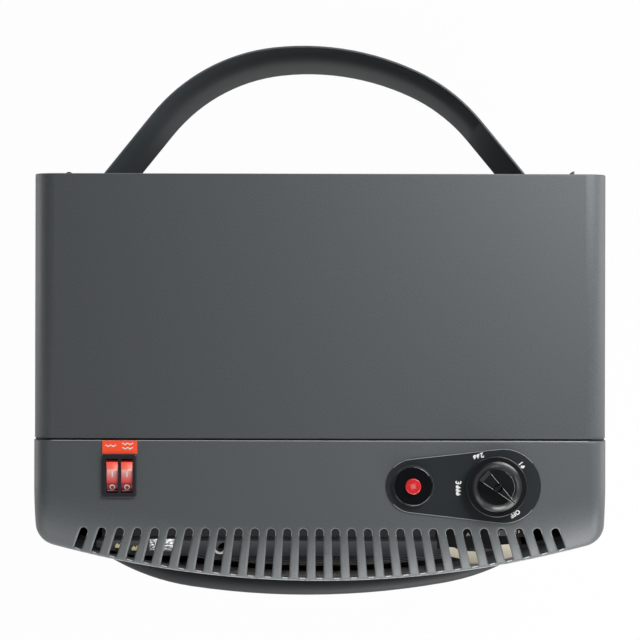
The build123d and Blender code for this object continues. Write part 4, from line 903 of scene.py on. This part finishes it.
# %% Fill the seam with painted shade
gap_front, gap_rear = console_high[1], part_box("rear_casing")[0][1]
seam_strip_radius = (gap_rear - gap_front) / 2
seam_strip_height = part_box("bulkhead")[1][2] + seam_strip_radius
shell_round = 12 * mm
bend_radius = shell_round - (cabinet_top - seam_strip_height)
bend_end = math.radians(5)
bend_steps = 5
bend_centre = Vector((console_high[0] - shell_round, seam_strip_height - bend_radius))
right_bend = arc(bend_centre, bend_radius, math.pi / 2, bend_end, bend_steps)
seam_strip_places = [(-x, z) for x, z in reversed(right_bend)] + [(x, z) for x, z in right_bend]
path = bpy.data.curves.new("seam_shade_strip", "CURVE")
path.dimensions = "3D"
path.bevel_depth = seam_strip_radius
path.bevel_resolution = 3
path.use_fill_caps = True
run = path.splines.new("POLY")
run.points.add(len(seam_strip_places) - 1)
for point, (x, z) in zip(run.points, seam_strip_places):
    point.co = (x, (gap_front + gap_rear) / 2, z, 1)
dress(bpy.data.objects.new("seam_shade_strip", path), seam_shade_black, "cabinet")
print("gasket radius, mm:", round(seam_strip_radius / mm, 2))

# %% [markdown]
# ## Aluminium tape on the deflector
# Behind the warm-air slots lies the heat deflector, a dark folded sheet with a lip. A patch of
# aluminium tape is pressed onto the lip by hand, so it is crinkled. Noise in the material would
# shade it, but only real facets throw small bright reflections, so it is a grid of points, each a
# little off the lip, drawn from a seeded sequence. The rim lies flat and closes the patch below.

# %% Press the tape on
tape_columns, tape_rows = 30, 12
tape_corner, tape_far_corner = (150, 551.5), (178, 539.5)
tape_from, tape_to = from_picture(*tape_corner, lip_top), from_picture(*tape_far_corner, lip_top)
crinkle_low, crinkle_high = 0.1, 0.9
crinkle = random.Random(5)
levels = [[lip_top + crinkle.uniform(crinkle_low, crinkle_high) * mm for _ in range(tape_columns + 1)]
          for _ in range(tape_rows + 1)]
form = bmesh.new()
grid = []
for row in range(tape_rows + 1):
    line = []
    for column in range(tape_columns + 1):
        x = tape_from[0] + (tape_to[0] - tape_from[0]) * column / tape_columns
        y = tape_from[1] + (tape_to[1] - tape_from[1]) * row / tape_rows
        edge = row in (0, tape_rows) or column in (0, tape_columns)
        line.append(form.verts.new((x, y, lip_top if edge else levels[row][column])))
    grid.append(line)
for near, far in zip(grid, grid[1:]):
    for column in range(tape_columns):
        form.faces.new((near[column], near[column + 1], far[column + 1], far[column]))
rim = grid[0] + [line[-1] for line in grid[1:]] + grid[-1][-2::-1] + [line[0] for line in grid[-2:0:-1]]
form.faces.new(rim[::-1])
place_piece("foil_tape", form, aluminium_foil, "cabinet")

# %% [markdown]
# ## Connectors and a grommet
# Two small straw-coloured connectors join leads on the deflector, and a white ceramic grommet
# lines the hole that a lead comes through. A connector is a block with two blades, one outline in
# millimetres. Of the grommet only the front of its ring shows, so it is a thick arc.

# %% Set the connectors and the grommet
connector_spots = [(119.5, 546), (136, 548.5)]
connector_outline = [(-2.6, -1.6), (2.6, -1.6), (2.6, 0.2), (1.2, 1.8), (0, 0.4), (-1.2, 1.8), (-2.6, 0.2)]
connector_half_height = 2.5 * mm
for number, spot in enumerate(connector_spots, 1):
    centre = from_picture(*spot, lip_top)
    form = bmesh.new()
    add_blot(form, [centre + Vector(corner) * mm for corner in connector_outline], "heat_deflector",
             connector_half_height)
    place_piece(f"lead_connector_{number}", form, straw_nylon, "cabinet")

grommet_spot = (220.5, 547.5)
grommet_radius, grommet_width, grommet_half_height = 4.4 * mm, 1.6 * mm, 0.8 * mm
grommet_start, grommet_end = math.radians(205), math.radians(335)
grommet_steps = 13
path = arc(from_picture(*grommet_spot, lip_top), grommet_radius, grommet_start, grommet_end, grommet_steps)
form = bmesh.new()
add_stroke(form, path, grommet_width, "heat_deflector", depth=grommet_half_height)
place_piece("lead_grommet", form, white_ceramic, "cabinet")

# %% [markdown]
# ## Boards of ceramic fibre
# Further right, in front of the gas valve, stand two cream boards of ceramic fibre. Such boards
# keep the burners' heat off a valve and are cut flat from a sheet. Each has one leg, which stands
# on the flange of the front sheet. A board is an upright prism, because its edges are as square as
# a knife leaves them, and its outline is read from the picture at the height of its top.

# %% Stand the boards in front of the valve
board_drop, board_thickness = 40 * mm, 2 * mm
board_top = cabinet_top - board_drop
fascia_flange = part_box("front_fascia")[1][2]
board_outlines = [
    [(449, 547), (455, 547.5), (462, 551), (480, 551.5), (480, 563.5), (466, 562.5), (459, 558), (450, 556)],
    [(499, 545), (514, 543.5), (514, 556.5), (500, 559.5)],
]
board_legs = [(472, 563), (507, 558)]
leg_half_width, leg_half_depth = 4 * mm, 1 * mm


def add_prism(form, outline, low, high):
    """Adds an upright solid with the given outline between two heights."""
    add_plate(form, [(x, y, high) for x, y in outline], [(x, y, low) for x, y in outline])


for number, (outline, foot) in enumerate(zip(board_outlines, board_legs), 1):
    board = [from_picture(*spot, board_top) for spot in outline]
    form = bmesh.new()
    add_prism(form, board, board_top - board_thickness, board_top)
    x, y = from_picture(*foot, board_top)
    leg = [(x + leg_half_width * side, y + leg_half_depth * end)
           for side, end in ((-1, -1), (1, -1), (1, 1), (-1, 1))]
    add_prism(form, leg, fascia_flange, board_top - board_thickness / 2)
    place_piece(f"fibre_board_{number}", form, cream_ceramic, "cabinet")

# %% [markdown]
# ## The strip of clips
# A black strip under the ribs carries the leads of the igniter and the valve. Bright clips on it
# show in three of the slots, and one more is a block of zinc-plated steel. It lies level, and its
# right front corner touches the inside of the console's rolled edge. At one or two pixels each,
# the clips are read from the picture as outlines and given a real thickness.

# %% Clip the strip
strip_drop, strip_thickness = 7.8 * mm, 1.0 * mm
strip_top = cabinet_top - strip_drop
clip_root, clip_rise, block_rise = 0.3 * mm, 0.5 * mm, 0.4 * mm
strip_outline = [(462, 528.5), (528, 528.5), (528, 536.3), (462, 536.3)]
clip_outlines = [
    [(466.7, 535.8), (468.1, 532.6), (468.9, 532.6), (470.4, 535.6), (469.4, 535.6), (468.5, 534.1),
     (467.6, 535.8)],
    [(499.0, 530.4), (499.9, 530.2), (500.1, 535.0), (499.3, 535.2)],
    [(515.9, 530.3), (516.8, 530.1), (517.0, 532.8), (516.2, 533.0)],
    [(518.6, 529.9), (519.8, 529.8), (519.9, 532.4), (518.8, 532.6)],
]
block_outline = [(500.3, 529.6), (506.3, 529.4), (507.0, 535.4), (500.7, 535.6)]
# Name, outlines, depth below and height above the strip's top, finish and slot
strip_pieces = [
    ("clip_strip", [strip_outline], strip_thickness, 0.0, seal_rubber_dark, "black_paint"),
    ("lead_clips", clip_outlines, clip_root, clip_rise, white_ceramic, "ceramic"),
    ("clip_block", [block_outline], clip_root, block_rise, zinc_plate, "zinc"),
]
for name, outlines, root, rise, finish, slot_name in strip_pieces:
    form = bmesh.new()
    for outline in outlines:
        add_prism(form, [from_picture(*spot, strip_top) for spot in outline], strip_top - root,
                  strip_top + rise)
    place_piece(name, form, finish, "cabinet")

# %% [markdown]
# ## A white floor and white walls
# The photograph shows the heater alone on white. Brighter lamps would make any floor white, but
# would also bleach the heater. So the paper of floor and walls is matt, and most of its colour is
# added for the camera, for metal and for glass alone, where it lights nothing. The floor keeps a
# small matt share, which takes the object's shadow. The walls close the view from the side.

# %% The floor and the walls
floor_size = 12.0
floor_height = -0.5 * mm
wall_height = 4.0
floor_share, wall_share = 0.97, 1.0


def white_paper(name, share):
    """Matt white paper, of which a share reads as pure white to the camera, to metal and to glass."""
    made, tree = new_material(name)
    rays = node(tree, "ShaderNodeLightPath")
    seen = node(tree, "ShaderNodeMath", {0: rays.outputs["Is Camera Ray"], 1: rays.outputs["Is Glossy Ray"]},
                operation="MAXIMUM")
    seen = node(tree, "ShaderNodeMath", {0: seen.outputs["Value"], 1: rays.outputs["Is Transmission Ray"]},
                operation="MAXIMUM")
    shown = node(tree, "ShaderNodeMath", {0: seen.outputs["Value"], 1: share}, operation="MULTIPLY")
    matt = node(tree, "ShaderNodeBsdfDiffuse", {"Color": linear("e4e4e4")})
    glow = node(tree, "ShaderNodeEmission", {"Color": linear("ffffff"), "Strength": 1.0})
    finish_material(tree, node(tree, "ShaderNodeMixShader", {
        0: shown.outputs["Value"], 1: matt.outputs["BSDF"], 2: glow.outputs["Emission"]}))
    return made


bpy.ops.mesh.primitive_plane_add(size=floor_size, location=(0, 0, floor_height))
floor = bpy.context.object
floor.name = "studio_floor"
floor.data.materials.append(white_paper("white_floor_paper", floor_share))

form = bmesh.new()
feet = [form.verts.new((x * floor_size / 2, y * floor_size / 2, floor_height))
        for x, y in ((-1, -1), (1, -1), (1, 1), (-1, 1))]
heads = [form.verts.new((foot.co[0], foot.co[1], wall_height)) for foot in feet]
for place in range(4):
    after = (place + 1) % 4
    form.faces.new((feet[place], feet[after], heads[after], heads[place]))
mesh = bpy.data.meshes.new("studio_walls")
form.to_mesh(mesh)
form.free()
mesh.materials.append(white_paper("white_wall_paper", wall_share))
walls = bpy.data.objects.new("studio_walls", mesh)
bpy.context.collection.objects.link(walls)

# %% [markdown]
# ## Soft light under a dim ceiling
# The main soft light stands near the top's rear right corner, as the casing grows lighter towards
# it, and weaker ones stand in front, where the rolled edge catches them. A small flat one lies
# inside, under the ribs, in place of the light that bounces about behind the slots. Four more
# stand lower than the cabinet's top. They light its sides for a look from there, and leave the top
# as it is. The world is a dim ceiling, since a bright one would lie as a grey haze on the dark
# top, which mirrors it.

# %% The lights and the world
ceiling_level = 0.115
# Name, place, point that it faces, width and depth, all in metres, and power in watts
soft_lights = [
    ("key_light", (0.45, 0.3, 1.15), (0.2, 0.1, cabinet_top), (0.35, 0.35), 4.46),
    ("rear_top_light", (0.35, 0.7, 1.35), (0.15, 0.1, cabinet_top), (0.45, 0.45), 3.24),
    ("front_right_light", (0.75, -0.9, 1.0), (0.1, -0.15, 0.65), (0.5, 0.5), 5),
    ("front_top_light", (0, -0.72, 1.22), (0, -0.17, 0.7), (0.3, 0.3), 1.3),
    ("front_left_light", (-0.7, -0.9, 1.0), (-0.1, -0.15, 0.65), (0.5, 0.5), 1.76),
    ("inner_light", (0, -0.155, 0.709), (0, -0.17, 0.66), (0.34, 0.016), 0.06),
    ("low_front_light", (0.35, -1.6, 0.72), (0, 0, 0.6), (0.8, 0.8), 15),
    ("low_rear_light", (0.1, 1.7, 0.45), (0, 0, 0.4), (0.8, 0.8), 8),
    ("low_right_light", (1.7, 0.1, 0.25), (0, 0, 0.4), (0.8, 0.8), 8),
    ("low_left_light", (-1.7, 0.1, 0.25), (0, 0, 0.4), (0.8, 0.8), 8),
]
for name, place, aim, (width, depth), power in soft_lights:
    lamp = bpy.data.lights.new(name, "AREA")
    lamp.shape = "RECTANGLE"
    lamp.size = width
    lamp.size_y = depth
    lamp.energy = power
    holder = bpy.data.objects.new(name, lamp)
    holder.location = place
    holder.rotation_euler = (Vector(aim) - Vector(place)).to_track_quat("-Z", "Y").to_euler()
    bpy.context.collection.objects.link(holder)

world = bpy.data.worlds.new("dim_ceiling")
bpy.context.scene.world = world
world.use_nodes = True
tree = world.node_tree
tree.nodes.clear()
around = node(tree, "ShaderNodeBackground", {"Color": linear("ffffff"), "Strength": ceiling_level})
tree.links.new(around.outputs[0], node(tree, "ShaderNodeOutputWorld").inputs["Surface"])
print("lights:", len(soft_lights))

# %% [markdown]
# ## The camera
# The values of the picture's frame give the focal length, the shift and the roll. A camera could be
# tilted to look at the cabinet's middle, but then its upright sides would lean, so it looks
# straight down and the lens is shifted.

# %% Set the camera
lens_data = bpy.data.cameras.new("overhead_camera")
lens_data.lens = lens_data.sensor_width * view_height / frame_span
lens_data.shift_x = (picture_x - camera_x) / frame_span
lens_data.shift_y = (picture_y - camera_y) / frame_span
camera = bpy.data.objects.new("overhead_camera", lens_data)
camera.location = (camera_x, camera_y, cabinet_top + view_height)
camera.rotation_euler = (0, 0, camera_roll)
bpy.context.collection.objects.link(camera)
bpy.context.scene.camera = camera
bpy.context.scene.view_settings.view_transform = "Standard"
print("focal length, mm:", round(lens_data.lens, 1))
